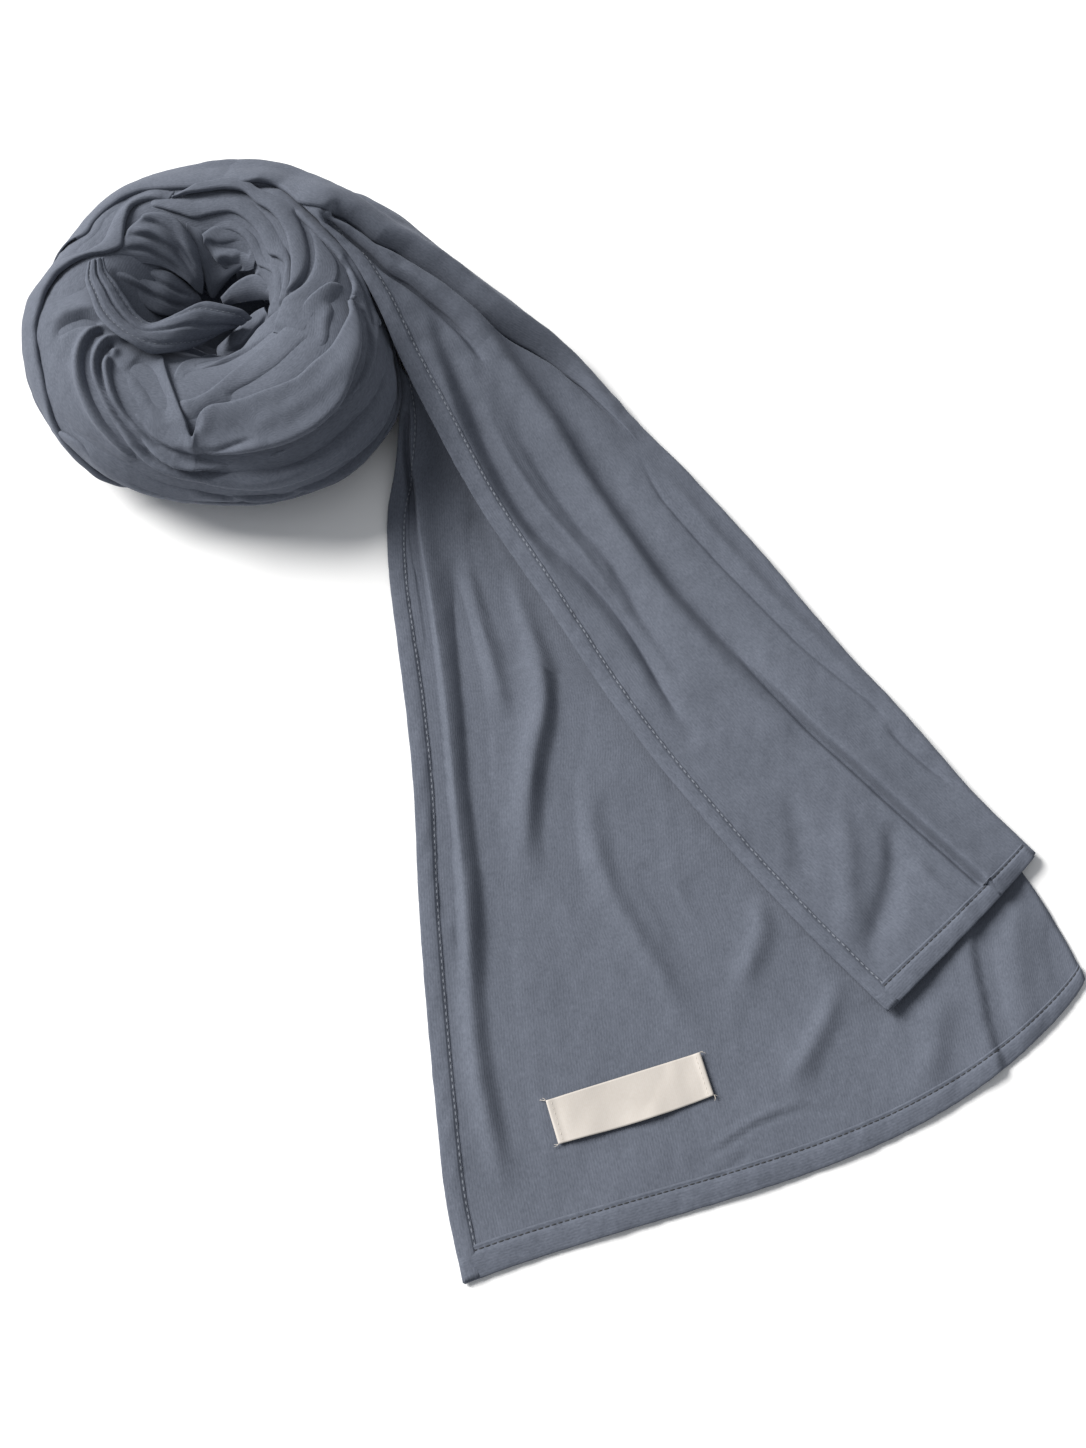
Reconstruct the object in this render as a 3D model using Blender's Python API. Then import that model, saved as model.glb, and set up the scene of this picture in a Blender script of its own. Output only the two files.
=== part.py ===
"""Jersey headscarf at rest: one end wound into a low coil, the rest led off as a doubled tail.

The cloth stays on the outside as thin walls.  The layers inside the coil and under the head of
the tail share one rounded solid each.  Sizes below are millimetres in the plan of the table,
with Z up; the finished solids are written in metres about the middle of their footprint.
"""
import math

import bmesh
import bpy
import numpy as np
from mathutils import Vector
from mathutils.bvhtree import BVHTree

MM = 0.001
PLAN_MIDDLE_X = -3.5
PLAN_MIDDLE_Y = 12.0

CLOTH_WALL = 2.6
TAIL_WALL = 2.2
SEAM_GAP = 0.34
CORE_SETBACK = CLOTH_WALL + SEAM_GAP + 1.9
STRAP_GAP = 2.0 * SEAM_GAP
SEAM_ALLOWANCE = 1.3
NARROWEST_PANEL_DEG = 2.0
EDGE_DROP = 1.1
TAIL_EDGE_DROP_SHARE = 0.5
EDGE_ROUND = 5.0
DEEPEST_VALLEY = -1.2
FOLD_SAMPLES = 12
FOLD_END_SHARE = 0.06

COIL_X = -146.0
COIL_Y = 174.0
COIL_WIDE = 1.07
COIL_DEEP = 0.97
COIL_GIRTH_HEIGHT = 24.0
COIL_CREST_HEIGHT = 54.0
COIL_CREST_SHARE = 0.62
PIT_RADIUS = 20.0
PIT_LIP_HEIGHT = 24.0
PIT_FLOOR_HEIGHT = 13.0
COIL_STEP_DEG = 5.0
FIRST_STEP_DEG = 2.5
FOOT_DEG = -80.0
HEART_END_DEG = 262.0
MM_PER_PROFILE_DEG = 0.52

# Outer radius of the coil, every 30 degrees from +X, anticlockwise seen from above.
COIL_RADIUS = (73, 74, 85, 83.5, 79.5, 72.5, 73.5, 76, 80, 82.5, 88.5, 86)

# Seam lines round the coil: plan angle and profile angle.  The profile angle is -80 at the
# foot, 90 on the crest, 180 at the pit's wall and 270 in the middle of the pit.
STRAP_SEAM = (
    # plan, profile
    (12, 50), (19, 61), (31, 67), (41, 70), (54, 70), (63, 70), (74, 79), (85, 82), (101, 80),
    (114, 69), (122, 65), (136, 60), (150, 54), (157, 20.5), (164, -13), (171, -46.5), (178, -80))
OUTER_SEAM = (
    (104, 87), (115, 78), (122, 76), (128, 83), (135, 91), (142, 97), (150, 98), (160, 90),
    (171, 76), (182, 57), (191, 46), (205, 38), (215, 31), (226, 20), (239, 8), (252, 4),
    (268, 6), (282, 9), (298, 3), (317, 0), (340, 5), (365, 12), (390, 12))
MIDDLE_SEAM = (
    (174, 76), (182, 96), (190, 104), (202, 114), (216, 121), (227, 124), (236, 126), (242, 123),
    (250, 112), (257, 101), (264, 80), (271, 62), (276, 74), (284, 83), (303, 86), (320, 85),
    (342, 79), (364, 68), (375, 68), (385, 71), (401, 76), (413, 80), (424, 82), (436, 83))
INNER_SEAM = (
    (232, 132), (240, 142), (248, 168), (256, 188), (264, 194), (274, 190), (290, 178), (303, 164),
    (315, 150), (330, 134), (342, 128), (366, 126), (388, 121), (401, 129), (410, 126), (421, 118),
    (444, 117), (455, 119), (462, 114), (468, 103), (475, 84))

# One row a fold on the coil: from, through and to as plan and profile angles, then millimetres.
COIL_FOLDS = (
    # plan1, prof1, plan2, prof2, plan3, prof3, height, width
    (104, 86, 128, 76, 166, 52, 2.6, 3.4),
    (166, 52, 200, 22, 262, -22, 1.8, 5.0),
    (226, -8, 282, -14, 345, -22, 1.6, 4.0),
    (190, 70, 205, 64, 232, 40, 2.2, 7.0),
    (203, 108, 214, 76, 252, 37, 4.4, 3.0),
    (252, 37, 275, 27, 303, 42, 2.6, 3.0),
    (214, 106, 230, 75, 262, 44, 4.4, 2.8),
    (262, 43, 280, 36, 300, 46, 2.4, 3.0),
    (223, 104, 238, 76, 264, 56, 4.2, 2.8),
    (262, 52, 282, 45, 300, 50, 2.0, 3.0),
    (275, 64, 315, 72, 362, 56, 5.0, 6.0),
    (285, 26, 318, 30, 358, 44, 2.0, 4.5),
    (298, 40, 330, 46, 362, 60, 1.8, 3.5),
    (246, 128, 258, 108, 270, 82, 2.6, 3.5),
    (270, 86, 305, 94, 345, 84, 3.2, 4.0),
    (268, 100, 300, 116, 336, 108, 2.8, 3.6),
    (285, 150, 315, 138, 348, 116, 2.2, 3.6),
    (345, 92, 368, 80, 396, 82, 3.4, 4.2),
    (396, 82, 428, 90, 462, 92, 3.2, 3.6),
    (356, 110, 384, 104, 412, 94, 2.8, 3.0),
    (396, 112, 420, 104, 450, 104, 2.8, 3.0),
    (364, 122, 388, 114, 408, 120, 2.0, 2.4),
)
HEART_FOLDS = (
    (106, 112, 128, 110, 148, 116, 5.0, 7.0),
    (118, 90, 128, 96, 144, 102, 3.4, 4.0),
    (92, 138, 100, 150, 112, 172, 3.4, 4.0),
    (150, 118, 150, 140, 132, 178, 2.6, 4.0),
    (60, 130, 64, 150, 70, 196, 3.6, 4.5),
    (36, 132, 40, 146, 46, 160, 2.8, 3.5),
    (20, 150, 30, 172, 50, 196, 3.8, 4.0),
    (350, 146, 10, 168, 30, 190, 2.6, 4.0),
    (186, 132, 200, 150, 230, 186, 2.6, 5.0),
    (200, 160, 160, 196, 120, 214, 1.6, 5.0),
)

# Sections of the upper layer, from the end of the strap on the coil to the end hem.  On the
# coil a section runs from the seam to the foot; off it, between two edges in the plan.
STRAP_SECTIONS = (
    # plan angle at the seam, plan angle at the foot, profile angle at the foot
    (149.4, 177.4, -80), (145, 160, -80), (138, 146, -80), (130, 134, -80), (118, 119, -80),
    (104, 104, -78), (90, 88, -72), (76, 73, -60), (62, 60, -40))
TAIL_OVER_SECTIONS = (
    # hem x, hem y, hem z, fold x, fold y, fold z, round, crown, bow
    (-100.5, 214, 57.2, -88, 244.5, 4.0, 1.0, 2, 0),
    (-85, 199, 51.5, -65, 236, 4.0, 1.0, 3, 0),
    (-72, 179, 43, -38, 216.5, 4.0, 0.9, 4, 0),
    (-61, 156, 33, -10, 196, 4.0, 0.8, 5, 0),
    (-46, 128, 23, 20, 164, 5.0, 0.6, 5, 0),
    (-28, 96, 15, 52.5, 126.5, 5.3, 0.4, 3, 0),
    (1, 52, 9.5, 86.5, 84.5, 5.3, 0.2, 2, 0),
    (36, -3, 6.8, 119, 41, 5.3, 0.0, 1, 0),
    (70, -48, 5.8, 149, 3, 5.3, 0.0, 0.5, 0),
    (104, -88, 5.3, 177, -34, 5.3, 0.0, 0, 0),
    (137, -123, 5.3, 200, -59, 5.3, 0.0, 0, 1))
TAIL_UNDER_SECTIONS = (
    # hem x, hem y, hem z, fold x, fold y, fold z, round, crown, bow
    (-63, 158, 24.0, -56, 150, 22.0, 0.0, 0, 0),
    (-62, 140, 16.0, -47, 133, 14.0, 0.0, 0, 0),
    (-64, 118, 7.0, -32, 112, 6.0, 0.0, 0, 0),
    (-67, 98, 3.0, -9, 84, 3.0, 0.0, 0, 0),
    (-66, 70, 2.4, 22, 46, 2.4, 0.0, 0, 0),
    (-62, 40, 2.4, 60, 18, 2.4, 0.0, 0, 0),
    (-57, 5, 2.4, 122, 24, 2.4, 0.0, 0, 0),
    (-53, -30, 2.4, 150, -4, 2.4, 0.0, 0, 0),
    (-50, -77, 2.4, 172, -32, 2.4, 0.0, 0, 3),
    (-46, -120, 2.4, 190, -56, 2.4, 0.0, 0, 8),
    (-41, -165, 2.4, 203, -78, 2.4, 0.0, 0, 14),
    (-37, -196, 2.4, 211, -94, 2.4, 0.0, 0, 18),
    (-30, -227, 2.4, 217, -109, 2.4, 0.0, 0, 22))
# Where the solid under the tail's head starts across it, one row a section of the upper layer.
TAIL_CORE_START = ((1.0, 0.74), (2.0, 0.56), (3.0, 0.38), (4.0, 0.18), (5.0, 0.14), (6.6, 0.16))
TAIL_CORE_END = 0.95

# One row a fold on the tail, in the plan.
OVER_FOLDS = (
    # x1, y1, x2, y2, x3, y3, height, width
    (-110, 240, -60, 234, 0, 190, 2.8, 5.0),
    (-88, 226, -47, 206, 8, 149, 4.2, 4.5),
    (-74, 205, -50, 188, -20, 150, 2.6, 4.0),
    (8, 149, 33, 96, 66, 30, 4.2, 6.0),
    (66, 30, 84, 8, 112, -22, 3.4, 6.0),
    (-20, 118, 10, 75, 44, 20, 3.2, 5.0),
    (44, 20, 62, -8, 90, -40, 1.8, 5.5),
    (40, 110, 84, 56, 124, 8, 3.2, 5.0),
    (20, 140, 52, 106, 86, 70, 2.2, 4.5),
    (100, 46, 132, 2, 164, -36, 2.0, 4.5),
    (124, 8, 150, -30, 180, -62, 2.2, 5.0),
    (96, -28, 120, -56, 150, -92, 1.6, 6.0))
UNDER_FOLDS = (
    (-60, 118, -53, 82, -45, 34, 2.0, 3.4),
    (-45, 40, -38, -20, -35, -88, 3.4, 4.5),
    (-16, 70, 0, 14, -9, -76, 2.8, 5.5),
    (-35, -80, -32, -140, -20, -196, 1.4, 7.0),
    (16, 10, 22, -60, 46, -112, 1.6, 6.0),
    (168, -70, 174, -104, 181, -138, 1.0, 3.0),
    (60, -60, 84, -110, 96, -150, 1.0, 7.0))

# The free end's hem: a strip that stands in a loop inside the coil.
END_STRIP_SECTIONS = (
    # outer x, outer y, outer z, inner x, inner y, inner z
    (-193, 185, 59, -187, 189, 58),
    (-193, 178, 60, -185, 184, 57),
    (-190, 170, 61, -181, 179, 56),
    (-185, 159, 62, -177, 173, 54),
    (-178, 152, 62, -171, 166, 52),
    (-171, 148, 60, -165, 163, 50),
    (-165, 146, 56, -156, 169, 48),
    (-157, 149, 50, -146, 175, 46),
    (-151, 155, 42, -138, 176, 44),
    (-146, 162, 37, -131, 174, 42),
    (-140, 165, 34, -128, 171, 39))

BOW_SKEW = 1.6
BOW_FLATNESS = 0.8
SECTION_SAMPLES = 20
SIDE_HEM = 7.0
OVER_HEM_FIRST_SECTION = 0.8
OVER_END_HEM = 7.5
UNDER_END_HEM = 10.0
HEM_WALL = 0.8
LABEL_CORNERS = ((1, -159), (62, -140), (67, -156), (6, -176))
LABEL_WALL = 0.7
ABOVE_THE_TAIL = 50.0
LABEL_ROWS = 4
LABEL_COLUMNS = 10
UNDER_WALL = 2.4
STRIP_WALL = 1.6
STRIP_CROWN = 1.2
STRIP_ROWS = 26
STRIP_COLUMNS = 5
OVER_ROWS = 46
OVER_COLUMNS = 15
UNDER_ROWS = 26
UNDER_COLUMNS = 21
TAIL_CORE_SETBACK = 1.5
TAIL_CORE_ROWS = 14
TAIL_CORE_COLUMNS = 8
HEART_COLUMNS = 9
HEART_CALM_DEG = 30.0
CORE_STEP_DEG = 10.0
CORE_PROFILE_DEG = (-90, -68, -46, -23, 0, 23, 46, 68, 90, 112, 135, 158, 180, 210, 240)

# Surface colours with roughness.
CLOTH = ("cloth", (0.155, 0.178, 0.218, 1.0), 0.9)
HEM = ("hem", (0.145, 0.167, 0.205, 1.0), 0.88)
SATIN = ("label", (0.86, 0.80, 0.73, 1.0), 0.42)


def clear_scene():
    """Remove whatever the file holds."""
    for item in list(bpy.data.objects):
        bpy.data.objects.remove(item, do_unlink=True)


def make_material(finish):
    """Return a plain material for one finish."""
    name, colour, roughness = finish
    material = bpy.data.materials.new(name)
    material.use_nodes = True
    shader = material.node_tree.nodes["Principled BSDF"]
    shader.inputs["Base Color"].default_value = colour
    shader.inputs["Roughness"].default_value = roughness
    shader.inputs["Metallic"].default_value = 0.0
    material.diffuse_color = colour
    return material


def smooth_through(values, places, wanted):
    """Read a smooth curve through table rows at the wanted places."""
    values = np.asarray(values, float)
    places = np.asarray(places, float)
    flat = values.reshape(len(places), -1)
    slopes = np.gradient(flat, places, axis=0)
    wanted = np.clip(np.atleast_1d(wanted), places[0], places[-1])
    row = np.clip(np.searchsorted(places, wanted, side="right") - 1, 0, len(places) - 2)
    span = (places[row + 1] - places[row])[:, None]
    part = ((wanted - places[row])[:, None]) / span
    start, end = flat[row], flat[row + 1]
    rise_start, rise_end = slopes[row] * span, slopes[row + 1] * span
    curve = ((2 * part ** 3 - 3 * part ** 2 + 1) * start + (part ** 3 - 2 * part ** 2 + part) * rise_start
             + (3 * part ** 2 - 2 * part ** 3) * end + (part ** 3 - part ** 2) * rise_end)
    return curve.reshape((len(wanted),) + values.shape[1:])


def seam_angle(seam, plan):
    """Return the seam's profile angle at each plan angle."""
    table = np.asarray(seam, float)
    return smooth_through(table[:, 1], table[:, 0], plan)


def coil_radius(plan):
    """Return the coil's outer radius at each plan angle."""
    rows = len(COIL_RADIUS)
    radii = np.asarray(COIL_RADIUS * 3, float)
    places = np.arange(len(radii)) * 360.0 / rows - 360.0
    return smooth_through(radii, places, np.mod(plan, 360.0))


def coil_point(plan, profile, lift=0.0):
    """Place points on the coil's rounded form, lifted off it by some millimetres."""
    plan, profile = np.broadcast_arrays(np.asarray(plan, float), np.asarray(profile, float))
    outer = coil_radius(plan.ravel()).reshape(plan.shape)
    crest = COIL_CREST_SHARE * outer
    along, up = np.cos(np.radians(profile)), np.sin(np.radians(profile))
    radius = np.where(profile <= 90, crest + (outer - crest) * along
                      + lift * np.where(profile < 0, 1.0, along),
                      np.where(profile <= 180, crest + (crest - PIT_RADIUS + lift) * along,
                               -(PIT_RADIUS - lift) * along))
    height = np.where(profile < 0, COIL_GIRTH_HEIGHT * (1 + up),
                      np.where(profile <= 90, COIL_GIRTH_HEIGHT
                               + (COIL_CREST_HEIGHT - COIL_GIRTH_HEIGHT + lift) * up,
                               np.where(profile <= 180, PIT_LIP_HEIGHT
                                        + (COIL_CREST_HEIGHT - PIT_LIP_HEIGHT + lift) * up,
                                        PIT_LIP_HEIGHT
                                        + (PIT_LIP_HEIGHT - PIT_FLOOR_HEIGHT - lift) * up)))
    turn = np.radians(plan)
    return np.stack((COIL_X + COIL_WIDE * radius * np.cos(turn),
                     COIL_Y + COIL_DEEP * radius * np.sin(turn), height), -1)


def fold_relief(places, folds, scale):
    """Sum the rounded ridges of a fold table at each place of a grid."""
    places = np.asarray(places, float) * scale
    relief = np.zeros(places.shape[:-1])
    steps = np.linspace(0.0, 1.0, FOLD_SAMPLES)
    for x1, y1, x2, y2, x3, y3, height, width in folds:
        line = smooth_through(((x1, y1), (x2, y2), (x3, y3)), (0.0, 0.5, 1.0), steps) * scale
        nearest = np.full(relief.shape, 1e9)
        along = np.zeros(relief.shape)
        for index in range(len(line) - 1):
            start, reach = line[index], line[index + 1] - line[index]
            part = np.clip(((places - start) @ reach) / (reach @ reach), 0.0, 1.0)
            gap = np.linalg.norm(places - (start + part[..., None] * reach), axis=-1)
            closer = gap < nearest
            nearest = np.where(closer, gap, nearest)
            along = np.where(closer, (index + part) / (len(line) - 1), along)
        place = FOLD_END_SHARE + (1.0 - 2.0 * FOLD_END_SHARE) * along
        taper = np.sqrt(np.clip(np.sin(np.pi * place), 0.0, 1.0))
        relief += height * taper * np.exp(-(nearest / width) ** 2)
    return relief


def coil_relief(plan, profile, folds):
    """Relief of the coil's folds, counting an angle and the same angle a turn on as one."""
    radius = float(np.mean(COIL_RADIUS)) * COIL_CREST_SHARE
    scale = np.array((math.radians(1.0) * radius, MM_PER_PROFILE_DEG))
    here = np.stack((plan, profile), -1)
    total = np.zeros(plan.shape)
    for turn in (-360.0, 0.0, 360.0):
        total = np.maximum(total, fold_relief(here + np.array((turn, 0.0)), folds, scale))
    return total


def grid_normals(grid):
    """Outward normals of a grid of points that runs from the hem edge to the fold."""
    along = np.gradient(grid, axis=0)
    across = np.gradient(grid, axis=1)
    normals = np.cross(along, across)
    lengths = np.linalg.norm(normals, axis=-1, keepdims=True)
    return normals / np.maximum(lengths, 1e-9)


def edge_fall(grid, closed_rows=False):
    """How far each point of a panel's rim drops, so that the edges look turned under."""
    rows, columns = grid.shape[:2]
    steps = np.linalg.norm(np.diff(grid, axis=1), axis=-1)
    across = np.concatenate((np.zeros((rows, 1)), np.cumsum(steps, axis=1)), axis=1)
    rim = np.minimum(across, across[:, -1:] - across)
    if not closed_rows:
        steps = np.linalg.norm(np.diff(grid, axis=0), axis=-1)
        along = np.concatenate((np.zeros((1, columns)), np.cumsum(steps, axis=0)), axis=0)
        rim = np.minimum(rim, np.minimum(along, along[-1:] - along))
    return EDGE_DROP * np.clip(1.0 - rim / EDGE_ROUND, 0.0, 1.0) ** 2


def to_world(point):
    """Turn plan millimetres into metres about the middle of the footprint."""
    return ((point[0] - PLAN_MIDDLE_X) * MM, (point[1] - PLAN_MIDDLE_Y) * MM, point[2] * MM)


def finish_body(name, body, material):
    """Turn a closed body into a named piece of the headscarf."""
    bmesh.ops.triangulate(body, faces=body.faces[:])
    bmesh.ops.recalc_face_normals(body, faces=body.faces[:])
    mesh = bpy.data.meshes.new(name)
    body.to_mesh(mesh)
    body.free()
    for face in mesh.polygons:
        face.use_smooth = True
    mesh.materials.append(material)
    piece = bpy.data.objects.new(name, mesh)
    bpy.data.collections["headscarf"].objects.link(piece)
    return piece


def wall_between(name, outer, inner, material, closed_rows=False, middle=None):
    """Loft one closed wall between an outer and an inner grid of points.

    A closed loft may end in a pair of middle points, one on each side of the wall.
    """
    rows, columns = outer.shape[:2]
    body = bmesh.new()
    top = [[body.verts.new(to_world(p)) for p in row] for row in outer]
    under = [[body.verts.new(to_world(p)) for p in row] for row in inner]
    poles = [body.verts.new(to_world(p)) for p in middle] if middle else None
    for r in range(rows if closed_rows else rows - 1):
        n = (r + 1) % rows
        for c in range(columns - 1):
            body.faces.new((top[r][c], top[r][c + 1], top[n][c + 1], top[n][c]))
            body.faces.new((under[n][c], under[n][c + 1], under[r][c + 1], under[r][c]))
        body.faces.new((top[r][0], top[n][0], under[n][0], under[r][0]))
        if poles:
            body.faces.new((top[r][-1], poles[0], top[n][-1]))
            body.faces.new((under[n][-1], poles[1], under[r][-1]))
        else:
            body.faces.new((top[n][-1], top[r][-1], under[r][-1], under[n][-1]))
    if not closed_rows:
        for c in range(columns - 1):
            body.faces.new((top[0][c + 1], top[0][c], under[0][c], under[0][c + 1]))
            body.faces.new((top[-1][c], top[-1][c + 1], under[-1][c + 1], under[-1][c]))
    return finish_body(name, body, material)


def seam_trim(plan, seam):
    """Half of the seam gap as a profile angle, wider where the seam runs steeply."""
    mm_per_plan = math.radians(1.0) * float(np.mean(COIL_RADIUS)) * COIL_CREST_SHARE
    slope = np.gradient(seam, plan) * MM_PER_PROFILE_DEG / mm_per_plan
    return 0.5 * SEAM_GAP * SEAM_ALLOWANCE * np.sqrt(1.0 + slope ** 2) / MM_PER_PROFILE_DEG


def coil_panel(name, plan, seam_out, seam_in, columns, folds, material):
    """Build one stretch of the wound cloth between two seams of the coil."""
    steps = np.linspace(0.0, 1.0, columns)
    low = seam_out + seam_trim(plan, seam_out)
    high = np.maximum(seam_in - seam_trim(plan, seam_in), low + NARROWEST_PANEL_DEG)
    profile = low[:, None] + (high - low)[:, None] * steps[None, :]
    angle = np.repeat(plan[:, None], columns, axis=1)
    base = coil_point(angle, profile)
    relief = coil_relief(angle, profile, folds) - edge_fall(base)
    outer = coil_point(angle, profile, np.maximum(relief, DEEPEST_VALLEY))
    inner = coil_point(angle, profile, -CLOTH_WALL)
    return wall_between(name, outer, inner, material)


def plan_steps(start, end):
    """Plan angles from start to end, one every few degrees."""
    count = int(round((end - start) / COIL_STEP_DEG)) + 1
    return np.linspace(start, end, count)


def heart_seam(plan):
    """Profile angle at which the heart of the coil starts, at one plan angle."""
    if plan <= 115.0:
        return float(seam_angle(INNER_SEAM, plan + 360.0)[0])
    if plan < 175.0:
        return float(seam_angle(OUTER_SEAM, plan)[0])
    if plan < 235.0:
        return float(seam_angle(MIDDLE_SEAM, plan)[0])
    return float(seam_angle(INNER_SEAM, plan)[0])


def build_heart(material):
    """Build the gathered middle of the coil, down to the bottom of the pit."""
    plan = plan_steps(0.0, 360.0 - COIL_STEP_DEG)
    seam = np.array([heart_seam(angle) for angle in plan])
    low = seam + seam_trim(plan, seam)
    steps = np.linspace(0.0, 1.0, HEART_COLUMNS)
    profile = low[:, None] + (HEART_END_DEG - low)[:, None] * steps[None, :]
    angle = np.repeat(plan[:, None], HEART_COLUMNS, axis=1)
    base = coil_point(angle, profile)
    across = np.concatenate((np.zeros((len(plan), 1)),
                             np.cumsum(np.linalg.norm(np.diff(base, axis=1), axis=-1), axis=1)), axis=1)
    fall = EDGE_DROP * np.clip(1.0 - across / EDGE_ROUND, 0.0, 1.0) ** 2
    relief = coil_relief(angle, profile, HEART_FOLDS) - fall
    relief *= np.clip((HEART_END_DEG - profile) / HEART_CALM_DEG, 0.0, 1.0)
    outer = coil_point(angle, profile, relief)
    inner = coil_point(angle, profile, -CLOTH_WALL)
    floor = coil_point(0.0, 270.0), coil_point(0.0, 270.0, -CLOTH_WALL)
    return wall_between("heart", outer, inner, material, closed_rows=True, middle=floor)


def build_core(material):
    """Build the rounded solid that stands for the layers hidden inside the coil."""
    plan = np.arange(0.0, 360.0, CORE_STEP_DEG)
    body = bmesh.new()
    rings = []
    for profile in CORE_PROFILE_DEG:
        ring = coil_point(plan, np.full(len(plan), float(profile)), -CORE_SETBACK)
        rings.append([body.verts.new(to_world(p)) for p in ring])
    for lower, upper in zip(rings, rings[1:]):
        for index in range(len(plan)):
            after = (index + 1) % len(plan)
            body.faces.new((lower[index], lower[after], upper[after], upper[index]))
    for ring, height in ((rings[0], 0.0), (rings[-1], float(coil_point(0.0, 270.0, -CORE_SETBACK)[2]))):
        centre = body.verts.new(to_world((COIL_X, COIL_Y, height)))
        for index in range(len(plan)):
            body.faces.new((ring[index], ring[(index + 1) % len(plan)], centre))
    return finish_body("coil_core", body, material)


def build_coil(cloth):
    """Build the stretches of the wound end and the solid that they lie on."""
    plan = np.concatenate((plan_steps(105.0, 145.0), np.arange(150.0, 180.0, FIRST_STEP_DEG),
                           plan_steps(180.0, 390.0)))
    foot = np.where(plan < 178.0, seam_angle(STRAP_SEAM, plan), FOOT_DEG)
    coil_panel("outer_turn", plan, foot, seam_angle(OUTER_SEAM, plan), 10, COIL_FOLDS, cloth)

    plan = plan_steps(175.0, 430.0)
    outside = np.where(plan <= 372.0, seam_angle(OUTER_SEAM, plan), seam_angle(STRAP_SEAM, plan - 360.0))
    coil_panel("middle_turn", plan, outside, seam_angle(MIDDLE_SEAM, plan), 12, COIL_FOLDS, cloth)

    plan = plan_steps(235.0, 475.0)
    outside = seam_angle(MIDDLE_SEAM, plan)
    outside = np.where(plan > 434.0, seam_angle(STRAP_SEAM, plan - 360.0), outside)
    outside = np.where(plan >= 465.0, seam_angle(OUTER_SEAM, plan - 360.0), outside)
    coil_panel("inner_turn", plan, outside, seam_angle(INNER_SEAM, plan), 10, COIL_FOLDS, cloth)

    build_heart(cloth)
    build_core(cloth)


def section_across(row, places):
    """Points across one section of the tail, from its hem edge to its fold."""
    hem, fold = np.array(row[0:3], float), np.array(row[3:6], float)
    round_share, crown, bow = row[6:9]
    across = (1 - round_share) * places + round_share * np.sin(0.5 * math.pi * places)
    drop = (1 - round_share) * (1 - places) + round_share * np.cos(0.5 * math.pi * places)
    reach = fold[:2] - hem[:2]
    outward = np.array((reach[1], -reach[0])) / np.linalg.norm(reach)
    swell = np.sin(math.pi * np.clip(places, 0.0, 1.0))
    bulge = bow * np.sin(math.pi * np.clip(places, 0.0, 1.0) ** BOW_SKEW) ** BOW_FLATNESS
    plan = hem[:2] + across[:, None] * reach + bulge[:, None] * outward
    height = fold[2] + (hem[2] - fold[2]) * drop + crown * swell
    return np.column_stack((plan, height))


def section_width(row):
    """Length round one section of the tail."""
    points = section_across(row, np.linspace(0.0, 1.0, SECTION_SAMPLES))
    return float(np.sum(np.linalg.norm(np.diff(points, axis=0), axis=1)))


def hem_places(width, columns):
    """Places across a section: the hem's own columns first, the rest spread evenly."""
    rest = np.linspace(SIDE_HEM / width, 1.0, columns - 2)
    return np.concatenate(((0.0, 0.5 * SIDE_HEM / width), rest))


def strap_section(row, columns, lift=0.0):
    """Points across one section of the strap, from its seam over the crest to the foot."""
    seam_plan, foot_plan, foot_profile = row
    seam = float(seam_angle(STRAP_SEAM, seam_plan)[0])
    low = seam - STRAP_GAP / MM_PER_PROFILE_DEG
    places = np.linspace(0.0, 1.0, columns)
    profile = low + (foot_profile - low) * places
    return coil_point(seam_plan + (foot_plan - seam_plan) * places, profile, lift)


def loft_rows(sections, end_hem, rows):
    """Rows of points along a stack of sections, with the last rows at the end hem's lines."""
    sections = np.asarray(sections)
    last = float(np.mean(np.linalg.norm(sections[-1] - sections[-2], axis=-1)))
    marks = (end_hem + 2 * SEAM_GAP, end_hem, 0.5 * end_hem, 0.0)
    ends = [len(sections) - 1 - mark / last for mark in marks]
    wanted = np.concatenate((np.linspace(0.0, ends[0], rows - 3), ends[1:]))
    return smooth_through(sections, np.arange(len(sections)), wanted), wanted


def build_panel(name, grid, relief, wall, material, coil_inside=None, on_coil=None):
    """Build a panel of the tail and return the grid of its outer points.

    Where the panel lies on the coil, its inside is given, with the share of it at each row.
    """
    normals = grid_normals(grid)
    outer = grid + normals * relief[..., None]
    inner = grid - normals * wall
    if coil_inside is not None:
        inner += on_coil[:, None, None] * (coil_inside - inner)
    inner[..., 2] = np.maximum(inner[..., 2], 0.0)
    wall_between(name, outer, inner, material)
    return outer


def build_hem(name, outer, rows, columns, material):
    """Lay a folded hem on the outer points of a panel, moved out by the seam gap."""
    normals = grid_normals(outer)[rows, columns]
    block = outer[rows, columns]
    wall_between(name, block + normals * (SEAM_GAP + HEM_WALL), block + normals * SEAM_GAP, material)


def build_tail_core(sections, grid_columns, material):
    """Build the rounded solid that stands for the folds hidden under the tail's head."""
    table = np.asarray(TAIL_CORE_START)
    wanted = np.linspace(table[0, 0], table[-1, 0], TAIL_CORE_ROWS)
    starts = smooth_through(table[:, 1], table[:, 0], wanted)
    first = len(STRAP_SECTIONS) - 1
    rows = smooth_through(np.asarray(sections), np.arange(len(sections)), wanted + first)
    normals = grid_normals(rows)
    under = rows - normals * (TAIL_WALL + SEAM_GAP + TAIL_CORE_SETBACK)
    top = []
    for row, start in zip(under, starts):
        places = np.linspace(0.0, 1.0, grid_columns)
        top.append(smooth_through(row, places, np.linspace(start, TAIL_CORE_END, TAIL_CORE_COLUMNS)))
    top = np.array(top)
    base = top.copy()
    base[..., 2] = 0.0
    wall_between("tail_core", top, base, material)


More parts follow.
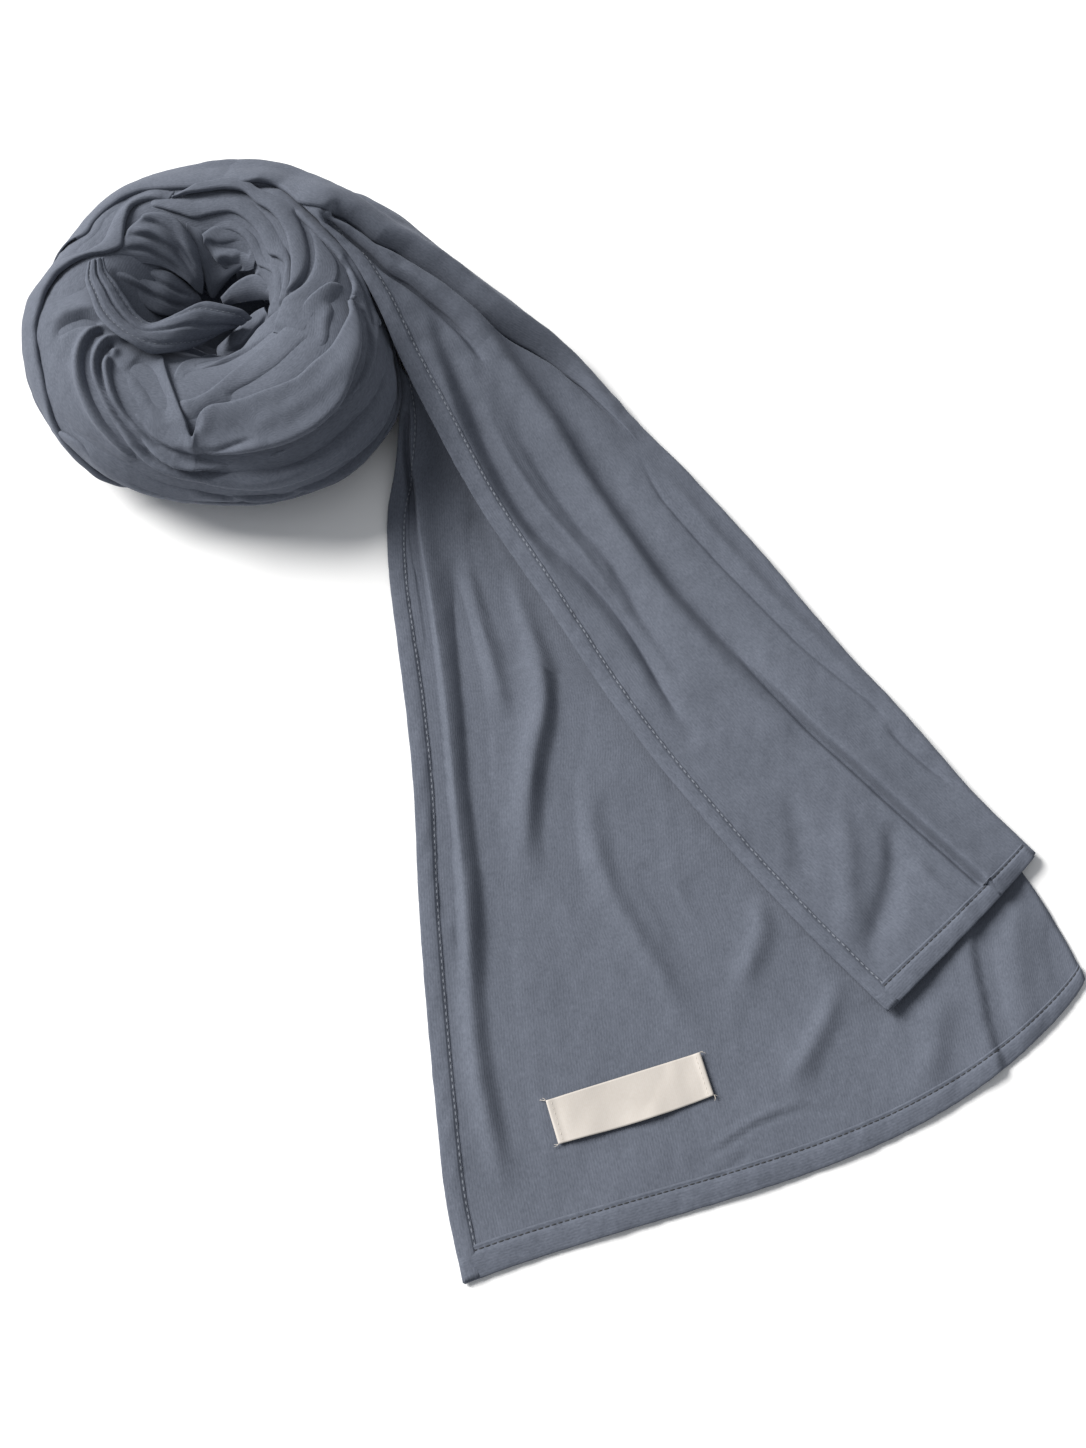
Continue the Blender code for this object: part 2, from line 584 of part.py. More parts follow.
def build_tail(cloth, hem):
    """Build both layers of the tail, their hems and the solid under its head."""
    strap = [strap_section(row, OVER_COLUMNS) for row in STRAP_SECTIONS]
    tail = [section_across(row, hem_places(section_width(row), OVER_COLUMNS))
            for row in TAIL_OVER_SECTIONS]
    grid, wanted = loft_rows(strap + tail, OVER_END_HEM, OVER_ROWS)
    relief = fold_relief(grid[..., :2], OVER_FOLDS, 1.0) - edge_fall(grid) * TAIL_EDGE_DROP_SHARE
    inside = [strap_section(row, OVER_COLUMNS, -TAIL_WALL) for row in STRAP_SECTIONS]
    inside = smooth_through(np.array(inside + tail), np.arange(len(inside + tail)), wanted)
    on_coil = np.clip(len(STRAP_SECTIONS) - wanted, 0.0, 1.0)
    outer = build_panel("tail_over", grid, relief, TAIL_WALL, cloth, inside, on_coil)
    first = int(np.searchsorted(wanted, len(STRAP_SECTIONS) + OVER_HEM_FIRST_SECTION))
    build_hem("over_side_hem", outer, slice(first, OVER_ROWS - 3), slice(0, 3), hem)
    build_hem("over_end_hem", outer, slice(OVER_ROWS - 3, OVER_ROWS), slice(0, OVER_COLUMNS), hem)
    even = [section_across(row, np.linspace(0.0, 1.0, OVER_COLUMNS)) for row in TAIL_OVER_SECTIONS]
    build_tail_core(strap + even, OVER_COLUMNS, cloth)

    under = [section_across(row, hem_places(section_width(row), UNDER_COLUMNS))
             for row in TAIL_UNDER_SECTIONS]
    grid, wanted = loft_rows(under, UNDER_END_HEM, UNDER_ROWS)
    relief = fold_relief(grid[..., :2], UNDER_FOLDS, 1.0) - edge_fall(grid) * TAIL_EDGE_DROP_SHARE
    outer = build_panel("tail_under", grid, relief, UNDER_WALL, cloth)
    build_hem("under_side_hem", outer, slice(1, UNDER_ROWS - 3), slice(0, 3), hem)
    build_hem("under_end_hem", outer, slice(UNDER_ROWS - 3, UNDER_ROWS), slice(0, UNDER_COLUMNS), hem)


def build_end_strip(material):
    """Build the free end's hem, standing in a loop inside the coil."""
    places = np.linspace(0.0, 1.0, STRIP_COLUMNS)
    sections = []
    for row in END_STRIP_SECTIONS:
        outside, inside = np.array(row[:3], float), np.array(row[3:], float)
        points = outside + places[:, None] * (inside - outside)
        points[:, 2] += STRIP_CROWN * np.sin(math.pi * places)
        sections.append(points)
    wanted = np.linspace(0.0, len(sections) - 1, STRIP_ROWS)
    grid = smooth_through(np.array(sections), np.arange(len(sections)), wanted)
    normals = grid_normals(grid)
    if normals[0, 0, 2] < 0.0:
        normals = -normals
    wall_between("end_strip", grid, grid - normals * STRIP_WALL, material)


def build_label(panel, material):
    """Lay the bare woven label on the lower layer, from points found on its top."""
    tree = BVHTree.FromPolygons([v.co for v in panel.data.vertices],
                                [tuple(p.vertices) for p in panel.data.polygons])
    corners = np.array(LABEL_CORNERS, float)
    lower, upper = [], []
    for down in np.linspace(0.0, 1.0, LABEL_ROWS):
        low_row, high_row = [], []
        for along in np.linspace(0.0, 1.0, LABEL_COLUMNS):
            top = corners[0] + along * (corners[1] - corners[0])
            foot = corners[3] + along * (corners[2] - corners[3])
            place = top + down * (foot - top)
            start = Vector(to_world((place[0], place[1], ABOVE_THE_TAIL)))
            found = tree.ray_cast(start, Vector((0.0, 0.0, -1.0)))[0]
            rest = found.z / MM + SEAM_GAP
            low_row.append((place[0], place[1], rest))
            high_row.append((place[0], place[1], rest + LABEL_WALL))
        lower.append(low_row)
        upper.append(high_row)
    wall_between("label", np.array(upper), np.array(lower), material)


def main():
    """Build every piece of the headscarf."""
    clear_scene()
    parts = bpy.data.collections.new("headscarf")
    bpy.context.scene.collection.children.link(parts)
    cloth, hem, satin = make_material(CLOTH), make_material(HEM), make_material(SATIN)
    build_coil(cloth)
    build_tail(cloth, hem)
    build_end_strip(hem)
    build_label(bpy.data.objects["tail_under"], satin)


if __name__ == "__main__":
    main()
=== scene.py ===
"""Looks of the jersey headscarf: one end wound into a low coil, the rest laid out as a tail.

Each stretch of cloth is a thin shell on the form of its own solid.  Tables below give the
sections of each stretch and, one row a fold, the soft troughs and ridges on it.  Sizes are
millimetres in the plan of the table, with Z up.
"""
import sys

import logging
import math
from collections.abc import Sequence
from dataclasses import dataclass, field
from enum import Enum
from typing import ClassVar

import bmesh
import bpy
import numpy as np
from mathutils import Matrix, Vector
from mathutils.bvhtree import BVHTree


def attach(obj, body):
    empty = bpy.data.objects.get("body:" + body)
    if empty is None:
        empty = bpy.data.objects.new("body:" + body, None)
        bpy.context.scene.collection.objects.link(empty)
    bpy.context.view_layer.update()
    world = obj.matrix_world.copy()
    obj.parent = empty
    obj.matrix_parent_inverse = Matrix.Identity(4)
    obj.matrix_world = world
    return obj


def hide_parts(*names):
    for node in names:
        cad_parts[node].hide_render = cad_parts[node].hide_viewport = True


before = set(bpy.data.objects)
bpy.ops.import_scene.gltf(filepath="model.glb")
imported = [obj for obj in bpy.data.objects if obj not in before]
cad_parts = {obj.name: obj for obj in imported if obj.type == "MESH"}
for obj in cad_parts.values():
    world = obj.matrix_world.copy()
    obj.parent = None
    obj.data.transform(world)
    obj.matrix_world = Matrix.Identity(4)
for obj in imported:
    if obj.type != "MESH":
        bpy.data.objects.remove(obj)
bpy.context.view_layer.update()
LOG = logging.getLogger("headscarf")
MM = 0.001
PLAN_MIDDLE = (-3.5, 12.0)
BODY = "root"
Numbers = Sequence | np.ndarray | float

# Thickness of the shells, and the lowest height of their outer sides, in millimetres.
CLOTH_WALL = 0.8
RIBBON_WALL = 0.7
STRIP_WALL = 0.6
HEM_WALL = 0.45
LABEL_WALL = 0.35
LOWEST_BAND = 1.0
LOWEST_PANEL = 1.1
LOWEST_EDGE = 0.85
LOWEST_HEM = 0.5

# Unevenness of the cloth: how many waves add up, the spread of their lengths, and their sum's scale.
WAVES = 14
WAVE_SPREAD = (0.5, 1.6)
WAVE_SCALE = 5.0

# The pit's middle lies this far from the coil's own middle in the plan.
PIT_SHIFT = (17.0, 9.0)
PIT_SINK = -4.0


class Kind(Enum):
    """The form of one fold across its line."""

    SOFT = "rounded on both sides"
    LIP = "a turned edge: high on the left of its line, dropping sharply to the right"
    CREASE = "a narrow trough"


class Held(Enum):
    """How a sheet is held, in the frame's words."""

    FOLDED = "folded"
    GATHERED = "gathered"
    LAID = "laid"


@dataclass(frozen=True)
class Fold:
    """One fold: the points its line runs through, and its size in millimetres.

    Attributes:
        line: Points of the line, as plan and profile angles on the coil or x and y off it.
        height: Height of the ridge, or depth of a trough if below zero.
        left: Width of the fold's left side.
        right: Width of its right side.
        kind: Form of the fold across its line.
        start: How much of the height stands at the line's start, from 0 to 1.
        end: The same at its end.
    """

    line: tuple
    height: float
    left: float
    right: float
    kind: Kind = Kind.SOFT
    start: float = 0.0
    end: float = 0.0


def smooth_through(values: Numbers, places: Numbers, wanted: Numbers) -> np.ndarray:
    """Read a smooth curve through table rows.

    Args:
        values: Rows of the table.
        places: Place of each row, rising.
        wanted: Places to read at.

    Returns:
        One row of values for each wanted place.
    """
    values = np.asarray(values, float)
    places = np.asarray(places, float)
    flat = values.reshape(len(places), -1)
    slopes = np.gradient(flat, places, axis=0)
    wanted = np.clip(np.atleast_1d(wanted), places[0], places[-1])
    row = np.clip(np.searchsorted(places, wanted, side="right") - 1, 0, len(places) - 2)
    span = (places[row + 1] - places[row])[:, None]
    part = (wanted - places[row])[:, None] / span
    start, end = flat[row], flat[row + 1]
    rise_start, rise_end = slopes[row] * span, slopes[row + 1] * span
    curve = ((2 * part ** 3 - 3 * part ** 2 + 1) * start
             + (part ** 3 - 2 * part ** 2 + part) * rise_start
             + (3 * part ** 2 - 2 * part ** 3) * end + (part ** 3 - part ** 2) * rise_end)
    return curve.reshape((len(wanted),) + values.shape[1:])


@dataclass(frozen=True)
class CoilForm:
    """The rounded form that the wound cloth lies on.

    Attributes:
        centre: Middle of the coil in the plan.
        wide: Stretch of the form along X.
        deep: Stretch of the form along Y.
        girth: Height of the widest part.
        crest: Height of the top.
        crest_share: Radius of the crest as a share of the outer radius.
        pit: Radius of the pit.
        lip: Height at which the pit's wall stands upright.
        floor: Height of the pit's bottom.
        radii: Outer radius, every 30 degrees from +X, anticlockwise seen from above.
        profile_mm: Millimetres round the profile for one degree of profile angle.
    """

    centre: tuple[float, float] = (-146.0, 174.0)
    wide: float = 1.07
    deep: float = 0.97
    girth: float = 24.0
    crest: float = 54.0
    crest_share: float = 0.62
    pit: float = 20.0
    lip: float = 24.0
    floor: float = 13.0
    radii: tuple[float, ...] = (73, 74, 85, 83.5, 79.5, 72.5, 73.5, 76, 80, 82.5, 88.5, 86)
    profile_mm: float = 0.52

    def radius(self, plan: np.ndarray) -> np.ndarray:
        """Outer radius at each plan angle.

        Args:
            plan: Plan angles in degrees.

        Returns:
            Radii in millimetres, before the stretch along X and Y.
        """
        table = np.asarray(self.radii * 3, float)
        places = np.arange(len(table)) * 360.0 / len(self.radii) - 360.0
        return smooth_through(table, places, np.mod(plan, 360.0).ravel()).reshape(plan.shape)

    def point(self, plan: Numbers, profile: Numbers, lift: Numbers = 0.0) -> np.ndarray:
        """Place points on the form.

        Args:
            plan: Plan angles in degrees.
            profile: Profile angles: -80 at the foot, 90 on the crest, 270 in the pit.
            lift: Millimetres off the form.

        Returns:
            Points in plan millimetres.
        """
        plan, profile = np.broadcast_arrays(np.asarray(plan, float), np.asarray(profile, float))
        outer = self.radius(plan)
        top = self.crest_share * outer
        along, up = np.cos(np.radians(profile)), np.sin(np.radians(profile))
        radius = np.where(profile <= 90, top + (outer - top) * along
                          + lift * np.where(profile < 0, 1.0, along),
                          np.where(profile <= 180, top + (top - self.pit + lift) * along,
                                   -(self.pit - lift) * along))
        rise, sink = self.crest - self.girth, self.crest - self.lip
        height = np.where(profile < 0, self.girth * (1 + up),
                          np.where(profile <= 90, self.girth + (rise + lift) * up,
                                   np.where(profile <= 180, self.lip + (sink + lift) * up,
                                            self.lip + (self.lip - self.floor - lift) * up)))
        turn = np.radians(plan)
        return np.stack((self.centre[0] + self.wide * radius * np.cos(turn),
                         self.centre[1] + self.deep * radius * np.sin(turn), height), -1)

    def outward(self, plan: Numbers, profile: Numbers) -> np.ndarray:
        """Direction off the form at each place.

        Args:
            plan: Plan angles in degrees.
            profile: Profile angles in degrees.

        Returns:
            Unit vectors.
        """
        step = self.point(plan, profile, 1.0) - self.point(plan, profile)
        return step / np.maximum(np.linalg.norm(step, axis=-1, keepdims=True), 1e-9)

    def scale(self) -> np.ndarray:
        """Millimetres for one degree of plan angle and of profile angle."""
        middle = float(np.mean(self.radii)) * self.crest_share
        return np.array((math.radians(1.0) * middle, self.profile_mm))


COIL = CoilForm()


class Relief:
    """Adds up a table of folds over a grid of places.

    Each line is read at SAMPLES points, and a fold rises and sinks over the share FADE of it.  A
    lip drops LIP_STEEP times as steeply as its width says, with a groove at its foot whose place,
    width and depth are shares of that width and of its height.
    """

    SAMPLES = 22
    FADE = 0.3
    LIP_STEEP = 4.0
    GROOVE_PLACE = 1.6
    GROOVE_WIDTH = 1.5
    GROOVE_DEPTH = 0.95

    def __init__(self, folds: tuple, scale: Numbers = (1.0, 1.0)) -> None:
        """Keep a table of folds.

        Args:
            folds: The folds.
            scale: Millimetres for one unit of each coordinate of the folds' lines.
        """
        self.folds = folds
        self.scale = np.asarray(scale, float)

    def _across(self, fold: Fold, side: np.ndarray) -> np.ndarray:
        """Height of a fold at each distance from its line.

        Args:
            fold: The fold.
            side: Distance, above zero on the left of the line.

        Returns:
            Heights in millimetres.
        """
        width = np.where(side > 0, fold.left, fold.right)
        bell = np.exp(-(side / width) ** 2)
        if fold.kind is Kind.LIP:
            edge = 1.0 / (1.0 + np.exp(-np.clip(side / fold.right * self.LIP_STEEP, -30, 30)))
            far = np.exp(-(np.maximum(side, 0.0) / fold.left) ** 2)
            groove = np.exp(-((side + self.GROOVE_PLACE * fold.right)
                              / (self.GROOVE_WIDTH * fold.right)) ** 2)
            return fold.height * (edge * far - self.GROOVE_DEPTH * groove)
        if fold.kind is Kind.CREASE:
            return fold.height / (1.0 + (side / width) ** 2) ** 1.5
        return fold.height * bell

    def at(self, places: np.ndarray) -> np.ndarray:
        """Add up the folds.

        Args:
            places: Grid of places in the units of the folds' lines.

        Returns:
            Relief in millimetres at each place.
        """
        here = np.asarray(places, float) * self.scale
        total = np.zeros(here.shape[:-1])
        for fold in self.folds:
            points = np.asarray(fold.line, float)
            run = smooth_through(points, np.linspace(0, 1, len(points)),
                                 np.linspace(0, 1, self.SAMPLES)) * self.scale
            nearest = np.full(total.shape, 1e9)
            side = np.zeros(total.shape)
            along = np.zeros(total.shape)
            for index in range(len(run) - 1):
                start, reach = run[index], run[index + 1] - run[index]
                gap = here - start
                part = np.clip((gap @ reach) / (reach @ reach), 0.0, 1.0)
                off = gap - part[..., None] * reach
                away = np.linalg.norm(off, axis=-1)
                closer = away < nearest
                left = np.sign(reach[0] * gap[..., 1] - reach[1] * gap[..., 0])
                side = np.where(closer, left * away, side)
                nearest = np.where(closer, away, nearest)
                along = np.where(closer, (index + part) / (len(run) - 1), along)
            fade_in = self._fade(fold.start, along)
            fade_out = self._fade(fold.end, 1 - along)
            total += self._across(fold, side) * fade_in * fade_out
        return total

    def _fade(self, least: float, run: np.ndarray) -> np.ndarray:
        """Share of a fold's height that stands near one end of its line.

        Args:
            least: Share of the height that stands at the end itself.
            run: Distance from that end, as a share of the line.

        Returns:
            Shares from least to 1.
        """
        return least + (1 - least) * np.sin(0.5 * np.pi * np.clip(run / self.FADE, 0, 1))


def uneven(grid: np.ndarray, coarse: float, seed: int) -> np.ndarray:
    """Soft unevenness of the cloth.

    Args:
        grid: Points in millimetres.
        coarse: Size of the unevenness in millimetres.
        seed: Chooses one pattern.

    Returns:
        Values from about -1 to 1.
    """
    chance = np.random.default_rng(seed)
    total = np.zeros(grid.shape[:-1])
    for _ in range(WAVES):
        way = chance.normal(size=3)
        way *= 2 * math.pi / coarse * chance.uniform(*WAVE_SPREAD) / np.linalg.norm(way)
        total += np.sin(grid @ way + chance.uniform(0, 2 * math.pi))
    return total / WAVE_SCALE


def unit(vectors: np.ndarray) -> np.ndarray:
    """Scale vectors to length one.

    Args:
        vectors: The vectors.

    Returns:
        Unit vectors.
    """
    return vectors / np.maximum(np.linalg.norm(vectors, axis=-1, keepdims=True), 1e-9)


def grid_normals(grid: np.ndarray) -> np.ndarray:
    """Normals of a grid of points.

    Args:
        grid: Rows of points.

    Returns:
        Unit normals.
    """
    return unit(np.cross(np.gradient(grid, axis=0), np.gradient(grid, axis=1)))


def rolled(grid: np.ndarray, normals: np.ndarray, first: Numbers, last: Numbers,
           turn: float = 160.0, steps: int = 6) -> np.ndarray:
    """Turn the two long edges of a grid under.

    Args:
        grid: Rows of points that run along the cloth.
        normals: Direction off the cloth's form at each point.
        first: Radius of the turn at the first column, or 0 for none.
        last: The same at the last column.
        turn: How far round the edge is turned, in degrees.
        steps: Columns added for each edge.

    Returns:
        The grid with the added columns.
    """
    angles = np.radians(np.linspace(turn / steps, turn, steps))
    sides = []
    for edge, inside, radius in ((0, 1, first), (-1, -2, last)):
        if np.max(radius) <= 0:
            sides.append(None)
            continue
        out = unit(grid[:, edge] - grid[:, inside])
        up = normals[:, edge] - np.sum(normals[:, edge] * out, -1, keepdims=True) * out
        up = unit(up)
        extra = [grid[:, edge] + radius * (math.sin(a) * out - (1 - math.cos(a)) * up) for a in angles]
        sides.append(np.stack(extra, axis=1))
    pieces = [grid]
    if sides[0] is not None:
        pieces.insert(0, sides[0][:, ::-1])
    if sides[1] is not None:
        pieces.append(sides[1])
    return np.concatenate(pieces, axis=1)


def to_world(points: np.ndarray) -> np.ndarray:
    """Turn plan millimetres into metres in the frame.

    Args:
        points: Points in plan millimetres.

    Returns:
        Points in metres.
    """
    return (np.asarray(points, float) - np.array((PLAN_MIDDLE[0], PLAN_MIDDLE[1], 0.0))) * MM


class Piece:
    """One finished piece of the model."""

    def __init__(self, name: str, node: str, slot: str, material: bpy.types.Material) -> None:
        """Name a piece.

        Args:
            name: Name of the piece.
            node: Node of the frame that it shows.
            slot: Name of its material slot, kept on the piece.
            material: Its material.
        """
        self.name, self.node, self.slot, self.material = name, node, slot, material
        self.object = None

    def finish(self, mesh: bpy.types.Mesh) -> "Piece":
        """Make the object from a mesh, hang it under the body and hide the part of the model that it shows.

        Args:
            mesh: The mesh, in place.

        Returns:
            This piece.
        """
        mesh.materials.clear()
        mesh.materials.append(self.material)
        for face in mesh.polygons:
            face.use_smooth = True
        self.object = bpy.data.objects.new(self.name, mesh)
        bpy.context.scene.collection.objects.link(self.object)
        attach(self.object, BODY)
        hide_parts(self.node)
        return self


class Sheet(Piece):
    """A sheet of cloth made from a grid of points."""

    def lay(self, grid: np.ndarray, wall: float, held: Held, rests_on: Sequence = (),
            with_pieces: Sequence = (), closed: bool = False) -> "Sheet":
        """Build the sheet, with its UV map measured on the points themselves.

        Args:
            grid: Rows of points in plan millimetres, outer side up.
            wall: Thickness of the cloth in millimetres.
            held: How it is held; not used.
            rests_on: Nodes or pieces that it lies on; not used.
            with_pieces: Pieces that go with it; not used.
            closed: Whether the last row joins the first.

        Returns:
            This sheet.
        """
        rows, columns = grid.shape[:2]
        index = np.arange(rows * columns).reshape(rows, columns)
        whole = grid
        if closed:
            index = np.concatenate((index, index[:1]))
            whole = np.concatenate((grid, grid[:1]))
        along = np.linalg.norm(np.diff(whole, axis=0), axis=-1)
        across = np.linalg.norm(np.diff(whole, axis=1), axis=-1)
        mesh = bpy.data.meshes.new(self.name)
        quads = np.stack((index[:-1, :-1], index[1:, :-1], index[1:, 1:], index[:-1, 1:]), -1)
        mesh.from_pydata(to_world(grid).reshape(-1, 3).tolist(), [], quads.reshape(-1, 4).tolist())
        u = np.concatenate((np.zeros((len(whole), 1)), np.cumsum(across, axis=1)), axis=1)
        run = np.concatenate(((0.0,), np.cumsum(along.mean(axis=1))))
        v = np.repeat(run[:, None], columns, axis=1)
        place = np.stack((u, v), -1) * MM
        corners = np.stack((place[:-1, :-1], place[1:, :-1], place[1:, 1:], place[:-1, 1:]), -2)
        mesh.uv_layers.new(name="cloth").data.foreach_set("uv", corners.ravel())
        self.finish(mesh)
        shell = self.object.modifiers.new("wall", "SOLIDIFY")
        shell.thickness = wall * MM
        shell.offset = -1.0
        return self


@dataclass
class Band:
    """A stretch of cloth wound round the coil, laid over the stretch inside it.

    Attributes:
        name: Name of the piece.
        node: Node that it shows.
        sections: One row a section: outer plan and profile angle, inner plan and profile angle.
        lift: Height off the form at the outer and the inner edge.
        roll: Radius of the turned edge at the outer and the inner edge.
        crown: Height of the swell between the edges.
        tuck: Degrees of profile that the outer edge reaches on under the stretch outside.
        rows: Rows of points round the coil.
        columns: Rows of points across.
        seed: Chooses the unevenness.
        folds: Folds on it.
        closed: Whether it runs all the way round.
        hole: Shift of the pit's middle in the plan.

    An edge's own lift reaches EDGE millimetres in.  An open band's ends sink by END_SINK over the
    share END_SHARE of its length.  The shift of the pit starts at the profile angle PIT_FROM and
    is whole PIT_OVER degrees further on.
    """

    name: str
    node: str
    sections: tuple
    lift: tuple[float, float] = (-2.2, 2.6)
    roll: tuple[float, float] = (0.0, 1.5)
    crown: float = 0.6
    tuck: float = 0.0
    rows: int = 200
    columns: int = 40
    seed: int = 1
    folds: tuple = ()
    closed: bool = False
    hole: tuple[float, float] = (0.0, 0.0)
    EDGE: ClassVar[float] = 8.0
    END_SINK: ClassVar[float] = 2.6
    END_SHARE: ClassVar[float] = 0.03
    PIT_FROM: ClassVar[float] = 120.0
    PIT_OVER: ClassVar[float] = 110.0

    def places(self) -> np.ndarray:
        """Spread the sections over rows and columns.

        Returns:
            Grid of plan and profile angles.
        """
        table = np.asarray(self.sections, float)
        step = np.hypot(np.diff(table[:, 2]), 0.6 * np.diff(table[:, 3])) + 1.0
        marks = np.concatenate(((0.0,), np.cumsum(step)))
        rows = smooth_through(table, marks, np.linspace(0, marks[-1], self.rows + int(self.closed)))
        if self.closed:
            rows = rows[:-1]
        outer, inner = rows[:, None, :2].copy(), rows[:, None, 2:]
        outer[..., 1] -= self.tuck
        share = np.linspace(0, 1, self.columns)[None, :, None]
        return outer + (inner - outer) * share

    def grid(self) -> np.ndarray:
        """Lay the band on the coil's form.

        Returns:
            Points of its outer side, with its turned edges.
        """
        places = self.places()
        profile = places[..., 1] * COIL.profile_mm
        tucked = np.exp(-((profile - profile[:, :1]) / self.EDGE) ** 2)
        raised = np.exp(-((profile - profile[:, -1:]) / self.EDGE) ** 2)
        lift = self.lift[0] * tucked + self.lift[1] * raised + self.crown * (1 - tucked) * (1 - raised)
        if not self.closed:
            run = np.linspace(0, 1, self.rows)
            near_end = np.minimum(run, 1 - run) / self.END_SHARE
            lift = lift - self.END_SINK * np.exp(-near_end ** 2)[:, None]
        base = COIL.point(places[..., 0], places[..., 1])
        lift = lift + Relief(self.folds, COIL.scale()).at(places)
        lift = lift + 0.45 * uneven(base, 34.0, self.seed) + 0.16 * uneven(base, 11.0, self.seed + 50)
        points = COIL.point(places[..., 0], places[..., 1], lift)
        if any(self.hole):
            deep = np.clip((places[..., 1] - self.PIT_FROM) / self.PIT_OVER, 0, 1)
            deep = (deep * deep * (3 - 2 * deep))[..., None]
            points = points + deep * np.array((*self.hole, PIT_SINK))
        points[..., 2] = np.maximum(points[..., 2], LOWEST_BAND)
        if any(self.roll):
            off = COIL.outward(places[..., 0], places[..., 1])
            points = rolled(points, off, *self.roll)
        return points

    def build(self, material: bpy.types.Material, rests_on: Sequence = ()) -> Sheet:
        """Build the band.

        Args:
            material: Its cloth.
            rests_on: What it lies on.

        Returns:
            The sheet.
        """
        sheet = Sheet(self.name, self.node, "cloth", material)
        return sheet.lay(self.grid(), CLOTH_WALL, Held.GATHERED, rests_on, closed=self.closed)


@dataclass
class Ribbon:
    """A strip of cloth that stands in the middle of the coil.

    Attributes:
        name: Name of the piece.
        node: Node that it shows.
        sections: One row a section: the outer point, then the inner point.
        crown: Height of the swell between the edges.
        roll: Radius of the turned edge on the outer and the inner side.
        rows: Rows of points along it.
        columns: Rows of points across.
        seed: Chooses the unevenness.
        folds: Folds on it, in the plan.
    """

    name: str
    node: str
    sections: tuple
    crown: float = 1.2
    roll: tuple[float, float] = (1.2, 0.0)
    rows: int = 70
    columns: int = 24
    seed: int = 1
    folds: tuple = ()

    def grid(self) -> np.ndarray:
        """Lay the ribbon through its sections.

        Returns:
            Points of its upper side, with its turned edges.
        """
        table = np.asarray(self.sections, float)
        step = np.linalg.norm(np.diff(table[:, :3], axis=0), axis=1) + 0.5
        marks = np.concatenate(((0.0,), np.cumsum(step)))
        rows = smooth_through(table, marks, np.linspace(0, marks[-1], self.rows))
        share = np.linspace(0, 1, self.columns)[None, :, None]
        outer, inner = rows[:, None, :3], rows[:, None, 3:]
        points = outer + (inner - outer) * share
        roll = self.roll
        if grid_normals(points)[..., 2].mean() < 0:
            points, roll = points[:, ::-1], roll[::-1]
        off = grid_normals(points)
        swell = self.crown * np.sin(math.pi * np.linspace(0, 1, self.columns))[None, :]
        lift = swell + Relief(self.folds).at(points[..., :2]) + 0.3 * uneven(points, 12.0, self.seed)
        points = points + off * lift[..., None]
        return rolled(points, off, *roll, turn=170.0)

    def build(self, material: bpy.types.Material, rests_on: Sequence = ()) -> Sheet:
        """Build the ribbon.

        Args:
            material: Its cloth.
            rests_on: What it lies on.

        Returns:
            The sheet.
        """
        sheet = Sheet(self.name, self.node, "cloth", material)
        return sheet.lay(self.grid(), RIBBON_WALL, Held.FOLDED, rests_on)


RIDGE_1 = ((205, 109), (203, 99), (207, 87), (212, 79), (218, 71), (224, 65), (232, 57), (238, 51),
           (245, 45), (251, 38), (258, 32), (266, 29), (273, 27), (280, 29), (289, 33), (296, 37),
           (303, 43))
RIDGE_2 = ((216, 112), (213, 103), (215, 95), (219, 87), (225, 79), (232, 73), (239, 65), (246, 57),
           (252, 48), (260, 42), (267, 37), (275, 35), (284, 37))
RIDGE_3 = ((222, 100), (224, 93), (227, 87), (233, 80), (240, 71), (247, 64), (254, 57), (261, 51),
           (269, 46), (277, 44), (286, 44))

